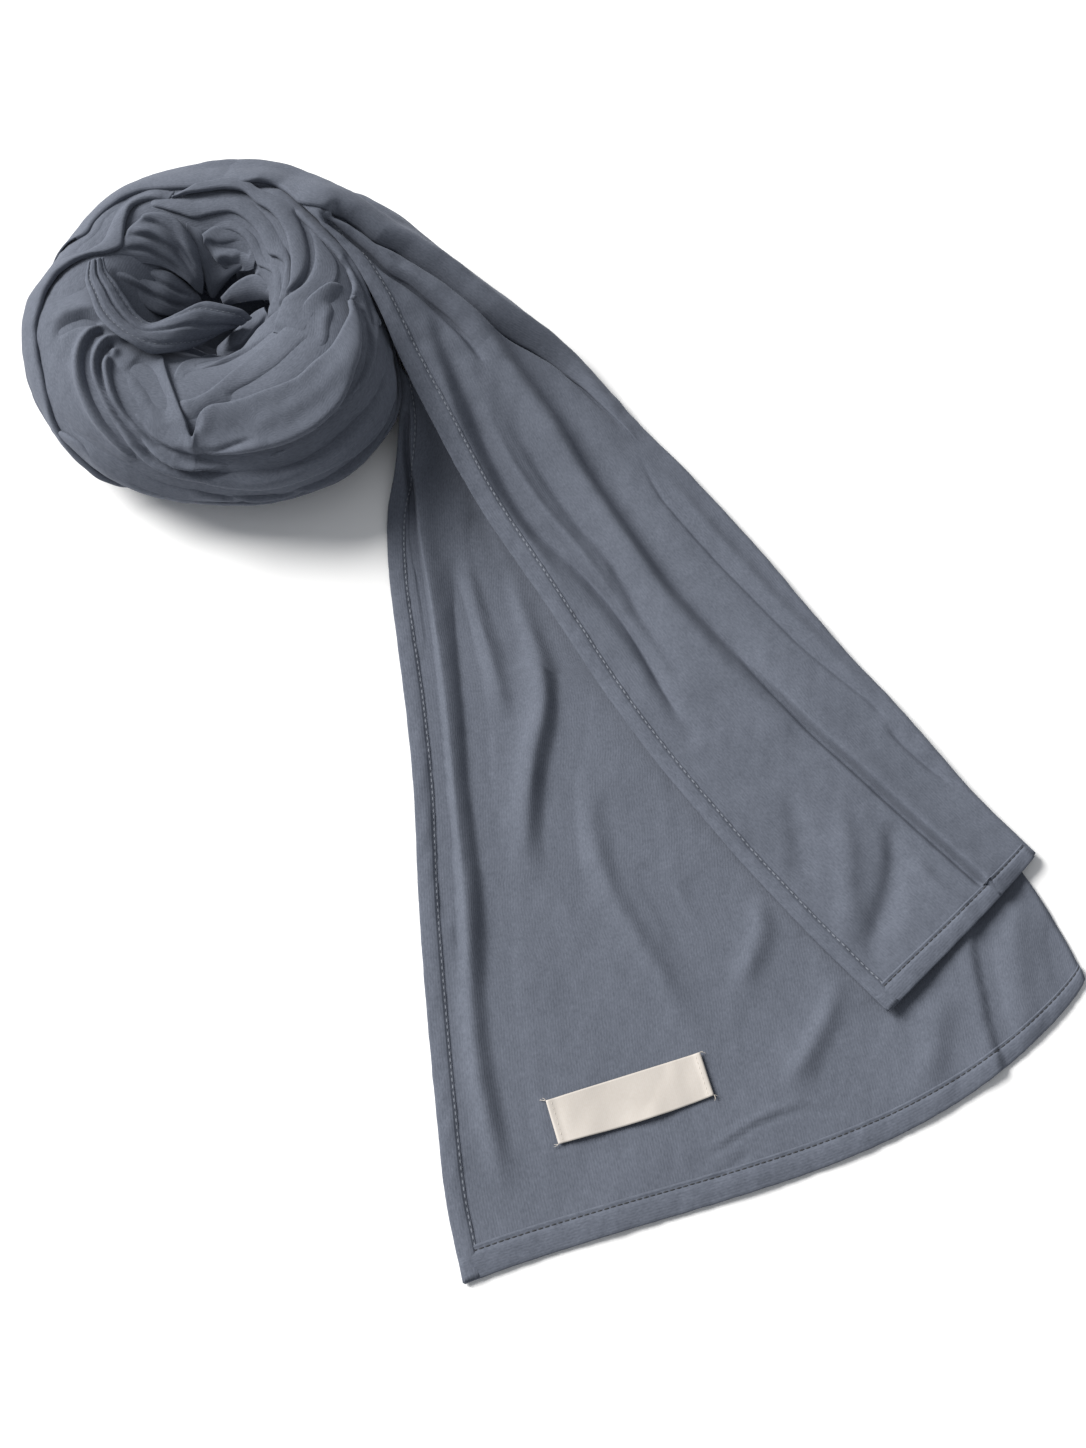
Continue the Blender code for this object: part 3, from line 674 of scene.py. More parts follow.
COIL_BANDS = (
    Band("coil_foot", "outer_turn", (
        (214, -76, 214, -10), (220, -80, 220, 4), (226, -80, 226, 15), (233, -80, 233, 20),
        (241, -80, 241, 13), (251, -80, 251, 4), (262, -80, 262, -3), (273, -80, 273, -8),
        (286, -80, 286, -13), (302, -80, 302, -18), (320, -80, 320, -16), (340, -80, 340, -6),
        (356, -80, 356, 6), (374, -80, 374, 14), (390, -70, 390, 14)),
        lift=(0.0, 1.9), roll=(0.0, 1.2), crown=0.4, rows=200, columns=36, seed=2, folds=(
            Fold(((226, -22), (245, -32), (268, -38), (296, -40), (330, -32), (352, -20)), -1.8, 2.0, 3.4),
            Fold(((240, -52), (262, -58), (290, -58), (318, -52)), -1.4, 2.4, 3.0),
            Fold(((300, -30), (322, -26), (350, -14)), 1.4, 3.0, 3.0))),
    Band("coil_lip", "outer_turn", (
        (101, 82, 106, 88), (112, 70, 115, 79), (120, 66, 122, 78), (130, 62, 129, 85),
        (138, 60, 136, 93), (146, 56, 143, 99), (153, 50, 151, 92), (158, 40, 157, 78),
        (163, 20, 163, 66), (168, -20, 168, 58), (174, -50, 174, 53), (181, -70, 181, 50),
        (190, -80, 190, 44), (200, -80, 200, 41), (209, -80, 209, 37), (216, -80, 216, 29),
        (222, -80, 222, 17), (228, -80, 228, 6), (234, -80, 234, -4), (240, -80, 240, -18),
        (246, -80, 246, -36), (251, -80, 251, -56)),
        lift=(0.4, 2.8), roll=(0.0, 1.5), crown=1.0, tuck=4.0, rows=230, columns=42, seed=3,
        folds=(Fold(((106, 80), (120, 71), (132, 74), (144, 79), (154, 70), (160, 54)), -2.4, 3.0, 3.0),
               Fold(((166, 40), (176, 34), (190, 28), (205, 22), (216, 10)), 1.6, 5.0, 4.0),
               Fold(((168, 14), (180, 6), (196, 0), (212, -10), (226, -28), (236, -44)), 1.4, 5.0, 1.4,
                    Kind.LIP, start=0.3),
               Fold(((172, -18), (184, -22), (198, -28), (214, -38), (228, -54)), -3.2, 1.5, 2.2,
                    Kind.CREASE, start=0.4),
               Fold(((176, -44), (190, -48), (206, -52), (220, -60)), 1.8, 3.6, 1.6, start=0.5),
               Fold(((182, 22), (196, 14), (210, 2), (220, -14)), -2.0, 2.0, 2.6))),
    Band("coil_middle", "middle_turn", (
        (166, 40, 172, 96), (174, 22, 184, 103), (182, 10, 194, 110), (191, 4, 202, 114),
        (200, 0, 209, 118), (212, -4, 218, 122), (224, -10, 228, 124), (236, -16, 236, 126),
        (246, -24, 244, 124), (255, -30, 252, 112), (262, -32, 264, 84), (267, -34, 268, 70),
        (270, -34, 270.5, 58), (273, -34, 273, 74), (277, -35, 277, 81), (285, -36, 286, 84),
        (300, -38, 300, 87), (315, -36, 315, 83), (324, -33, 324, 82), (332, -28, 332, 78),
        (343, -20, 343, 71), (354, -8, 354, 61), (361, 0, 361, 56), (366, 6, 366, 53),
        (374, 14, 374, 52), (384, 30, 384, 62), (396, 50, 396, 72), (410, 62, 410, 79),
        (424, 70, 424, 81), (436, 76, 436, 84)),
        lift=(-2.2, 2.6), roll=(0.0, 1.5), crown=0.6, tuck=6.0, rows=350, columns=84, seed=4, folds=(
            Fold(RIDGE_1, 4.2, 2.8, 2.3, start=0.5), Fold(RIDGE_2, 4.2, 2.1, 2.0, start=0.6),
            Fold(RIDGE_3, 4.0, 2.1, 2.0, start=0.6),
            Fold(((207, 100), (207, 94), (211, 86), (217, 79), (223, 73), (228, 68), (235, 61), (242, 52),
                  (249, 42), (253, 35), (257, 29), (261, 24), (265, 21), (271, 20), (275, 17), (280, 14),
                  (285, 11), (293, 11), (299, 11), (306, 10), (313, 9), (319, 7), (326, 5), (332, 9)),
                 -5.4, 1.4, 1.5, Kind.CREASE, start=0.4, end=0.5),
            Fold(((217, 101), (219, 91), (224, 84), (229, 79), (234, 73), (240, 67), (247, 58), (254, 47),
                  (258, 40), (263, 35), (267, 33), (276, 33), (285, 36), (296, 37), (306, 42),
                  (318, 44), (328, 43), (343, 39), (353, 32)),
                 -5.4, 1.4, 1.5, Kind.CREASE, start=0.5, end=0.6),
            Fold(((222, 97), (229, 91), (236, 83), (242, 75), (247, 66), (253, 59), (258, 52), (263, 48),
                  (272, 46), (281, 45), (291, 46), (302, 47), (318, 50), (332, 56), (345, 54), (358, 56)),
                 -5.4, 1.4, 1.5, Kind.CREASE, start=0.5, end=0.6),
            Fold(((252, 37), (257, 29), (261, 24), (266, 21), (273, 19), (280, 14), (293, 11), (306, 10),
                  (319, 7), (332, 9), (345, 16)), 3.4, 6.0, 1.6, Kind.LIP, end=0.3),
            Fold(((256, 43), (260, 37), (267, 33), (276, 33), (285, 36), (296, 37), (306, 42),
                  (318, 44), (328, 43), (343, 39), (353, 32)), 4.0, 6.5, 1.7, Kind.LIP, end=0.5),
            Fold(((260, 50), (266, 47), (272, 46), (281, 45), (291, 46), (302, 47), (318, 50), (332, 56),
                  (345, 54), (358, 56)), 4.0, 7.0, 1.7, Kind.LIP, end=0.5),
            Fold(((259, 53), (268, 50), (277, 50), (285, 55), (290, 57)), -1.8, 1.1, 1.1, Kind.CREASE),
            Fold(((234, 20), (238, 16), (247, 8), (257, 1), (266, -5), (276, -10)), 1.4, 3.4, 3.4),
            Fold(((288, 11), (292, 4), (298, -7), (303, -20)), -2.2, 1.1, 1.3, Kind.CREASE, start=0.6),
            Fold(((272, 11), (276, 8), (280, 0), (284, -11)), -1.8, 1.1, 1.3, Kind.CREASE, start=0.4),
            Fold(((220, 29), (230, 29), (237, 30), (242, 29), (247, 26), (252, 23), (257, 20)), -1.4,
                 1.2, 1.6, Kind.CREASE),
            Fold(((191, 69), (190, 81), (191, 98), (202, 113)), 2.2, 4.0, 2.4, start=0.5, end=0.5),
            Fold(((198, 62), (197, 76), (198, 94), (208, 110)), -2.4, 2.4, 2.0),
            Fold(((233, 104), (241, 106), (249, 99), (257, 86), (264, 70)), -2.6, 4.6, 4.0),
            Fold(((230, 92), (238, 84), (248, 74), (258, 62)), -1.2, 2.4, 2.4),
            Fold(((270, 27), (290, 25), (306, 26), (322, 27), (340, 24)), 2.6, 3.4, 3.4),
            Fold(((352, 50), (338, 50), (322, 49), (304, 46), (290, 42)), 1.4, 1.6, 1.6),
            Fold(((262, 6), (286, 0), (306, -4), (326, -2), (346, 8)), 2.2, 3.2, 3.2),
            Fold(((296, -12), (310, -14), (322, -12), (340, -4), (354, 8)), -3.0, 1.1, 1.4, Kind.CREASE),
            Fold(((288, 64), (300, 68), (316, 68), (332, 66), (348, 58)), 1.6, 3.6, 4.4),
            Fold(((340, 20), (352, 24), (364, 30), (374, 40)), -2.0, 1.4, 1.6, Kind.CREASE, end=0.5),
            Fold(((348, 42), (358, 40), (368, 46), (380, 56)), -2.0, 1.4, 1.6, Kind.CREASE, end=0.5),
            Fold(((270, 62), (272, 69), (273, 76)), -1.6, 1.4, 1.4, start=0.2, end=0.6))),
    Band("coil_second", "inner_turn", (
        (262, 62, 262, 84), (268, 58, 268, 85), (275, 66, 275, 91), (283, 72, 283, 101),
        (293, 74, 293, 112), (308, 74, 308, 120), (322, 72, 323, 120), (335, 68, 335, 114),
        (345, 66, 346, 105), (355, 62, 355, 95), (363, 58, 363, 82), (370, 54, 370, 67)),
        lift=(-2.6, 2.4), roll=(0.0, 1.6), crown=0.5, rows=150, columns=36, seed=5, folds=(
            Fold(((284, 92), (300, 98), (318, 100), (336, 96)), -2.4, 1.4, 1.8, Kind.CREASE),
            Fold(((330, 84), (344, 84), (356, 76)), 1.6, 3.0, 3.0))),
    Band("coil_third", "inner_turn", (
        (256, 92, 256, 122), (262, 88, 262, 138), (272, 92, 272, 152), (285, 100, 285, 164),
        (300, 108, 300, 170), (315, 112, 316, 168), (328, 112, 330, 156), (340, 106, 342, 138),
        (352, 96, 354, 118)),
        lift=(-2.6, 1.6), roll=(0.0, 1.3), crown=0.6, rows=140, columns=40, seed=6, folds=(
            Fold(((264, 112), (280, 124), (296, 134), (314, 138), (334, 126)), -3.2, 1.4, 1.6, Kind.CREASE),
            Fold(((268, 128), (284, 142), (302, 150), (322, 148)), -2.6, 1.4, 1.6, Kind.CREASE),
            Fold(((270, 120), (286, 132), (304, 142), (324, 140)), 1.4, 2.0, 2.0))),
    Band("coil_ring", "inner_turn", (
        (330, 104, 332, 124), (342, 98, 345, 119), (352, 90, 354, 115), (362, 80, 363, 109),
        (370, 70, 370, 105), (378, 66, 378, 102), (389, 71, 389, 98), (400, 75, 400, 95),
        (410, 79, 409, 94), (420, 83, 419, 93), (428, 83, 426, 92), (435, 78, 434, 86),
        (442, 79, 441, 86), (450, 83, 453, 89), (459, 85, 464, 88)),
        lift=(0.6, 3.6), roll=(1.4, 1.3), crown=0.9, rows=210, columns=34, seed=7, folds=(
            Fold(((360, 114), (364, 106), (369, 97), (377, 89), (385, 84), (394, 81), (402, 80),
                  (410, 82)), -3.4, 1.2, 1.8, Kind.CREASE, start=0.6),)),
    Band("coil_zigzag", "inner_turn", (
        (352, 96, 354, 124), (364, 92, 364, 118), (377, 88, 377, 111), (386, 84, 386, 106),
        (393, 84, 393, 109), (400, 84, 400, 115), (408, 82, 408, 114), (418, 80, 418, 110),
        (427, 78, 427, 106), (435, 74, 435, 103), (447, 76, 447, 106), (456, 76, 456, 108),
        (464, 76, 464, 102), (472, 75, 473, 90), (477, 74, 478, 82)),
        lift=(-1.8, 2.0), roll=(0.0, 1.2), crown=-0.6, rows=190, columns=34, seed=8, folds=(
            Fold(((356, 114), (368, 106), (380, 101), (392, 98), (404, 96), (416, 95), (428, 92)),
                 -3.0, 1.5, 1.8, Kind.CREASE, start=0.5),)),
    Band("coil_fourth", "inner_turn", (
        (346, 112, 346, 138), (358, 104, 358, 135), (368, 98, 368, 127), (378, 94, 378, 124),
        (388, 90, 388, 122), (396, 92, 396, 126), (404, 94, 404, 130), (412, 92, 412, 126),
        (422, 90, 422, 120), (432, 88, 432, 117), (444, 90, 444, 119), (454, 92, 454, 120),
        (463, 92, 463, 116)),
        lift=(-2.8, 0.4), roll=(0.0, 1.2), crown=-1.2, rows=150, columns=34, seed=9, folds=(
            Fold(((360, 122), (376, 115), (390, 110), (398, 119), (408, 117), (420, 113), (434, 108),
                  (448, 110)), -2.6, 1.4, 1.8, Kind.CREASE),)),
    Band("coil_heart", "heart", tuple(
        (plan, profile, plan + 14, 262) for plan, profile in (
            (0, 116), (30, 110), (60, 108), (90, 104), (110, 84), (150, 78), (180, 84), (205, 98),
            (230, 116), (255, 122), (280, 122), (305, 128), (335, 120), (360, 116))),
        lift=(-3.0, -1.0), roll=(0.0, 0.0), crown=-0.6, rows=220, columns=62, seed=10,
        closed=True, hole=PIT_SHIFT, folds=(
            Fold(((20, 140), (30, 165), (52, 195), (80, 225)), 3.2, 2.4, 1.6),
            Fold(((40, 136), (50, 162), (68, 192), (92, 222)), 2.6, 2.2, 1.6),
            Fold(((62, 132), (70, 160), (84, 190), (104, 220)), 3.0, 2.6, 1.6),
            Fold(((84, 130), (92, 152), (100, 180), (112, 212)), 2.4, 2.2, 1.6),
            Fold(((126, 120), (124, 146), (124, 176), (130, 206)), 2.2, 2.4, 1.8),
            Fold(((160, 108), (160, 136), (166, 168), (180, 200)), 2.8, 2.8, 1.8),
            Fold(((196, 118), (200, 150), (214, 184), (240, 215)), 3.0, 2.8, 1.8),
            Fold(((226, 128), (232, 154), (246, 184), (270, 215)), 2.6, 2.4, 1.6),
            Fold(((262, 140), (266, 162), (278, 190), (300, 220)), 3.0, 2.4, 1.6),
            Fold(((282, 142), (288, 164), (300, 192), (318, 222)), 2.2, 2.0, 1.5),
            Fold(((300, 150), (304, 170), (316, 195), (334, 222)), 2.6, 2.2, 1.5),
            Fold(((318, 136), (322, 160), (334, 190), (352, 222)), 2.2, 2.2, 1.5),
            Fold(((336, 138), (342, 162), (352, 190), (370, 220)), 2.8, 2.4, 1.6),
            Fold(((150, 102), (147, 116), (138, 130), (125, 143), (116, 158), (106, 175)), -2.4, 2.2, 2.2))),
)

HEART_RIBBONS = (
    Ribbon("heart_petal", "heart", (
        (-184, 196, 53, -184, 194, 52), (-180, 200, 55, -177, 193, 50), (-175, 207, 57, -169, 193, 48),
        (-168, 211, 58, -163, 193, 45), (-161, 211, 57, -157, 191, 42), (-154, 206, 54, -153, 189, 38),
        (-150, 202, 49, -151, 188, 35), (-148, 197, 42, -149, 188, 32)), 1.8, (1.4, 0.0), 80, 30, 21,
        (Fold(((-178, 203), (-168, 203), (-158, 199), (-151, 192)), -2.4, 1.0, 1.3, Kind.CREASE),
         Fold(((-173, 209), (-165, 208), (-157, 203), (-151, 195)), -2.0, 1.0, 1.3, Kind.CREASE),
         Fold(((-181, 197), (-171, 198), (-161, 195), (-153, 190)), -2.0, 1.0, 1.3, Kind.CREASE),
         Fold(((-176, 206), (-166, 205), (-157, 200)), 1.4, 1.8, 1.8))),
    Ribbon("heart_petal_low", "heart", (
        (-185, 195, 50, -185, 190, 50), (-178, 193, 48, -179, 183, 47), (-170, 193, 46, -172, 177, 43),
        (-161, 192, 43, -164, 175, 38), (-156, 191, 38, -157, 178, 33),
        (-151, 189, 32, -150, 185, 28)), 1.4, (0.0, 1.1), 60, 26, 22,
        (Fold(((-181, 191), (-171, 189), (-161, 186), (-153, 186)), -2.2, 1.0, 1.2, Kind.CREASE),
         Fold(((-174, 183), (-167, 181), (-160, 180), (-155, 182)), -1.8, 1.0, 1.2, Kind.CREASE))),
    Ribbon("heart_vee", "heart", (
        (-154, 210, 52, -153, 202, 44), (-148, 208, 50, -148, 194, 38), (-142, 204, 46, -145, 188, 30),
        (-136, 198, 42, -140, 192, 32), (-129, 197, 44, -134, 197, 38)), 1.4, (1.2, 0.8), 60, 24, 23),
    Ribbon("heart_pocket", "heart", (
        (-147, 206, 50, -146, 203, 46), (-142, 209, 51, -141, 197, 43), (-134, 209, 51, -135, 195, 41),
        (-128, 205, 50, -129, 194, 41), (-123, 198, 47, -125, 194, 43)), 1.2, (1.3, 0.0), 60, 28, 24,
        (Fold(((-146, 205), (-140, 203), (-132, 203), (-126, 199)), -2.4, 1.2, 1.6, Kind.CREASE),
         Fold(((-143, 199), (-137, 200), (-131, 199)), 1.4, 1.8, 1.8),
         Fold(((-141, 197), (-135, 196), (-130, 195)), -1.8, 1.0, 1.4, Kind.CREASE))),
    Ribbon("heart_tuck", "heart", (
        (-141, 158, 27, -142, 166, 26), (-134, 158, 29, -136, 169, 30), (-127, 160, 31, -130, 173, 33),
        (-121, 165, 33, -126, 177, 34), (-117, 172, 35, -121, 179, 36)), 1.2, (0.0, 1.2), 60, 24, 26,
        (Fold(((-138, 161), (-130, 163), (-124, 169), (-119, 176)), -2.4, 1.0, 1.3, Kind.CREASE),)),
    Ribbon("heart_fold", "heart", (
        (-140, 184, 34, -139, 183, 30), (-133, 188, 40, -133, 183, 33), (-125, 190, 43, -126, 183, 35),
        (-118, 185, 43, -119, 182, 37), (-112, 180, 42, -114, 179, 38)), 1.0, (1.2, 0.0), 60, 20, 25),
)

END_STRIP = (
    (-193, 187, 59, -187, 190, 58), (-193, 178, 60, -185, 184, 57), (-190, 170, 61, -181, 179, 56),
    (-185, 159, 62, -177, 173, 54), (-178, 152, 62, -171, 165, 52), (-171, 148, 60, -165, 163, 50),
    (-165, 146, 56, -155, 169, 49), (-157, 149, 50, -146, 175, 47), (-151, 155, 42, -138, 175, 45),
    (-144, 163, 36, -130, 174, 42), (-138, 171, 31, -126, 172, 38))

STRAP_SEAM = ((12, 50), (19, 61), (31, 67), (41, 70), (54, 70), (63, 70), (74, 79), (85, 82),
              (101, 80), (114, 69), (122, 65), (136, 60), (150, 54), (157, 20.5))
STRAP_SECTIONS = ((149.4, 177.4, -80), (145, 160, -80), (138, 146, -80), (130, 134, -80),
                  (118, 119, -80), (104, 104, -78), (90, 88, -72), (76, 73, -60), (62, 60, -40))
OVER_SECTIONS = (
    (-100.5, 214, 57.2, -88, 244.5, 4, 1, 2, 0), (-85, 199, 51.5, -65, 236, 4, 1, 3, 0),
    (-72, 179, 43, -38, 216.5, 4, 0.9, 4, 0), (-61, 156, 33, -10, 196, 4, 0.8, 5, 0),
    (-46, 128, 23, 20, 164, 5, 0.6, 5, 0), (-28, 96, 15, 52.5, 126.5, 5.3, 0.4, 3, 0),
    (1, 52, 9.5, 86.5, 84.5, 5.3, 0.2, 2, 0), (36, -3, 6.8, 119, 41, 5.3, 0, 1, 0),
    (70, -48, 5.8, 149, 3, 5.3, 0, 0.5, 0), (104, -88, 5.3, 177, -34, 5.3, 0, 0, 0),
    (137, -123, 5.3, 200, -59, 5.3, 0, 0, 1))
UNDER_SECTIONS = (
    (-63, 158, 24, -56, 150, 22, 0, 0, 0), (-62, 140, 16, -47, 133, 14, 0, 0, 0),
    (-64, 118, 7, -32, 112, 6, 0, 0, 0), (-67, 98, 3, -9, 84, 3, 0, 0, 0),
    (-66, 70, 2.4, 22, 46, 2.4, 0, 0, 0), (-62, 40, 2.4, 60, 18, 2.4, 0, 0, 0),
    (-57, 5, 2.4, 122, 24, 2.4, 0, 0, 0), (-53, -30, 2.4, 150, -4, 2.4, 0, 0, 0),
    (-50, -77, 2.4, 172, -32, 2.4, 0, 0, 3), (-46, -120, 2.4, 190, -56, 2.4, 0, 0, 8),
    (-41, -165, 2.4, 203, -78, 2.4, 0, 0, 14), (-37, -196, 2.4, 211, -94, 2.4, 0, 0, 18),
    (-30, -227, 2.4, 217, -109, 2.4, 0, 0, 22))

ROLL_EDGE = ((-105, 219), (-96, 216), (-88, 215), (-79, 212), (-71, 207), (-62, 205), (-54, 201),
             (-45, 196), (-36, 190), (-28, 184), (-19, 179), (-10, 175), (-1, 171), (8, 166), (16, 159),
             (25, 149), (36, 136), (50, 118))
PLEAT_EDGE = ((-97, 212), (-92, 211), (-85, 207), (-79, 203), (-72, 198), (-66, 193), (-58, 189),
              (-49, 183), (-40, 176), (-32, 168), (-24, 157))
STRAP_FOLDS = (
    Fold(((-150, 251), (-128, 250), (-106, 244), (-84, 232), (-62, 216)), -2.2, 2.4, 1.6),
    Fold(((-158, 244), (-136, 246), (-114, 242), (-92, 232)), 1.6, 3.0, 2.6),
)
OVER_FOLDS = STRAP_FOLDS + (
    Fold(tuple((x - 0.6, y - 1.1) for x, y in ROLL_EDGE[2:-1]), -6.0, 3.0, 2.0, start=0.8),
    Fold(tuple((x - 0.5, y - 0.9) for x, y in PLEAT_EDGE[1:]), -4.6, 2.2, 1.6, start=0.8),
    Fold(tuple((x + 4.2, y + 5.6) for x, y in ROLL_EDGE[3:]), 1.0, 4.5, 4.5),
    Fold(((-62, 196), (-53, 192), (-45, 188), (-36, 182), (-27, 174), (-19, 164), (-10, 152), (-1, 139),
          (7, 125), (16, 111), (25, 97), (37, 77), (50, 56), (66, 35), (82, 17), (99, -1)),
         3.0, 5.0, 7.0, end=0.3),
    Fold(((-70, 214), (-54, 207), (-36, 197), (-19, 186), (-1, 178), (16, 166), (36, 143)), 1.6, 4.0, 4.0),
    Fold(((-28, 181), (-19, 171), (-10, 159), (1, 145), (11, 132), (20, 115), (31, 98), (44, 79),
          (56, 61), (69, 46), (83, 30), (99, 13), (115, -5)), -3.4, 9.0, 4.0, end=0.2),
    Fold(((83, 30), (99, 12), (115, -6), (131, -22), (147, -38), (162, -53), (178, -69)),
         2.8, 10.0, 0.9, Kind.LIP, end=1.0),
    Fold(((-51, 164), (-44, 150), (-38, 133), (-29, 114), (-21, 99), (-10, 84), (3, 66), (16, 50)),
         1.8, 3.2, 4.0),
    Fold(((-49, 180), (-44, 167), (-38, 153), (-32, 140), (-25, 123), (-16, 105), (-6, 88), (7, 75),
          (20, 61), (29, 50), (41, 32), (49, 16), (57, 1), (65, -12)), -2.6, 4.5, 3.6),
    Fold(((10, 73), (20, 62), (30, 50), (41, 32), (50, 14), (58, 0)), -1.4, 1.3, 1.3, Kind.CREASE),
    Fold(((-27, 140), (-19, 123), (-10, 108), (1, 92), (12, 79), (24, 62), (35, 45), (45, 28)),
         1.6, 2.6, 3.0),
    Fold(((-19, 141), (-6, 119), (5, 102), (16, 86), (29, 71), (41, 48), (51, 30), (60, 12)),
         -1.8, 4.0, 3.2),
    Fold(((42, 121), (51, 102), (67, 82), (84, 62), (92, 53), (108, 35), (125, 19), (137, 8), (144, -1)),
         -1.2, 1.2, 1.2, Kind.CREASE),
    Fold(((52, 113), (66, 94), (84, 72), (104, 48), (124, 27), (140, 8)), 1.3, 3.4, 3.0),
    Fold(((143, -3), (150, -11), (158, -19), (166, -26)), -1.3, 1.3, 1.6, Kind.CREASE, end=0.6),
    Fold(((142, -44), (143, -61), (139, -78), (132, -96)), -1.8, 6.0, 4.0, end=0.5),
    Fold(((122, -35), (124, -61), (124, -82), (122, -94)), 1.3, 5.0, 6.0, end=0.4),
    Fold(((101, -30), (105, -52), (107, -72)), -1.0, 5.0, 5.0),
    Fold(((150, -60), (160, -72), (170, -80)), 0.9, 3.0, 3.0, end=1.0),
)
UNDER_FOLDS = (
    Fold(((-58, 137), (-58, 122), (-56, 106), (-54, 83), (-49, 55), (-45, 27), (-41, -6), (-38, -35),
          (-35, -62), (-33, -88), (-31, -112)), 3.4, 8.0, 0.9, Kind.LIP, start=0.5),
    Fold(((-49, 37), (-45, 0), (-42, -35), (-39, -64), (-38, -90)), -1.6, 3.0, 4.0),
    Fold(((-31, -60), (-30, -90), (-29, -118), (-26, -146), (-21, -169), (-15, -192)), 2.4, 4.5, 3.6),
    Fold(((-40, 84), (-36, 56), (-33, 28), (-30, 1), (-28, -26), (-24, -52), (-21, -77), (-19, -102),
          (-17, -126), (-13, -150), (-8, -173), (-2, -192)), -2.6, 5.0, 4.0),
    Fold(((-35, 74), (-29, 51), (-22, 28), (-16, 1)), 1.6, 3.6, 3.6),
    Fold(((-28, 93), (-24, 74), (-18, 55), (-12, 39), (-7, 25)), -2.8, 3.6, 5.0, start=0.5),
    Fold(((-14, 67), (-8, 45), (-2, 28), (0, 14), (-1, 0), (-4, -13), (-6, -30), (-7, -50), (-5, -70)),
         3.0, 4.4, 6.0),
    Fold(((7, 37), (10, 20), (10, 5), (8, -10), (5, -26), (6, -47), (10, -64), (17, -81)),
         -1.8, 7.0, 4.6),
    Fold(((19, -22), (20, -47), (24, -64), (30, -79), (40, -96), (50, -112), (58, -130)), 1.7, 5.0, 5.0),
    Fold(((40, -60), (49, -77), (57, -91), (66, -108)), -1.5, 4.5, 4.5),
    Fold(((60, -66), (65, -77), (71, -94), (72, -116)), -1.2, 3.6, 4.0),
    Fold(((85, -76), (88, -87), (84, -100), (78, -113)), 1.5, 4.5, 3.6),
    Fold(((104, -90), (99, -108), (91, -122), (82, -142)), -1.6, 5.0, 4.5),
    Fold(((119, -108), (112, -126), (104, -140), (96, -153)), 1.6, 4.5, 4.0),
    Fold(((134, -118), (126, -132), (118, -144), (108, -156)), -1.7, 5.0, 4.0),
    Fold(((61, -182), (73, -174), (85, -167), (101, -162), (120, -162)), -0.9, 0.9, 0.9, Kind.CREASE),
    Fold(((64, -178), (76, -170), (88, -163), (103, -158)), 0.6, 2.0, 2.2),
    Fold(((67, -188), (74, -183), (82, -177)), -0.9, 0.9, 0.9, Kind.CREASE, start=0.6),
    Fold(((158, -112), (156, -134), (151, -150)), 1.4, 6.0, 7.0, end=0.6),
    Fold(((184, -152), (181, -142), (178, -130), (176, -116), (174, -101), (173, -86)), 1.7, 12.0, 2.2,
         Kind.LIP, start=1.0, end=0.6),
    Fold(((191, -86), (189, -102), (190, -120), (194, -136)), 1.2, 7.0, 5.0, start=0.6),
    Fold(((206, -88), (207, -102), (210, -116)), -0.9, 4.0, 4.0, start=0.5, end=0.4),
)
SHOWN_UNDER = ((0.0, 0.5), (0.2, 0.34), (0.35, 0.36), (0.5, 0.5), (0.65, 0.62), (0.78, 0.76), (0.85, 0.8),
               (1.0, 0.8))


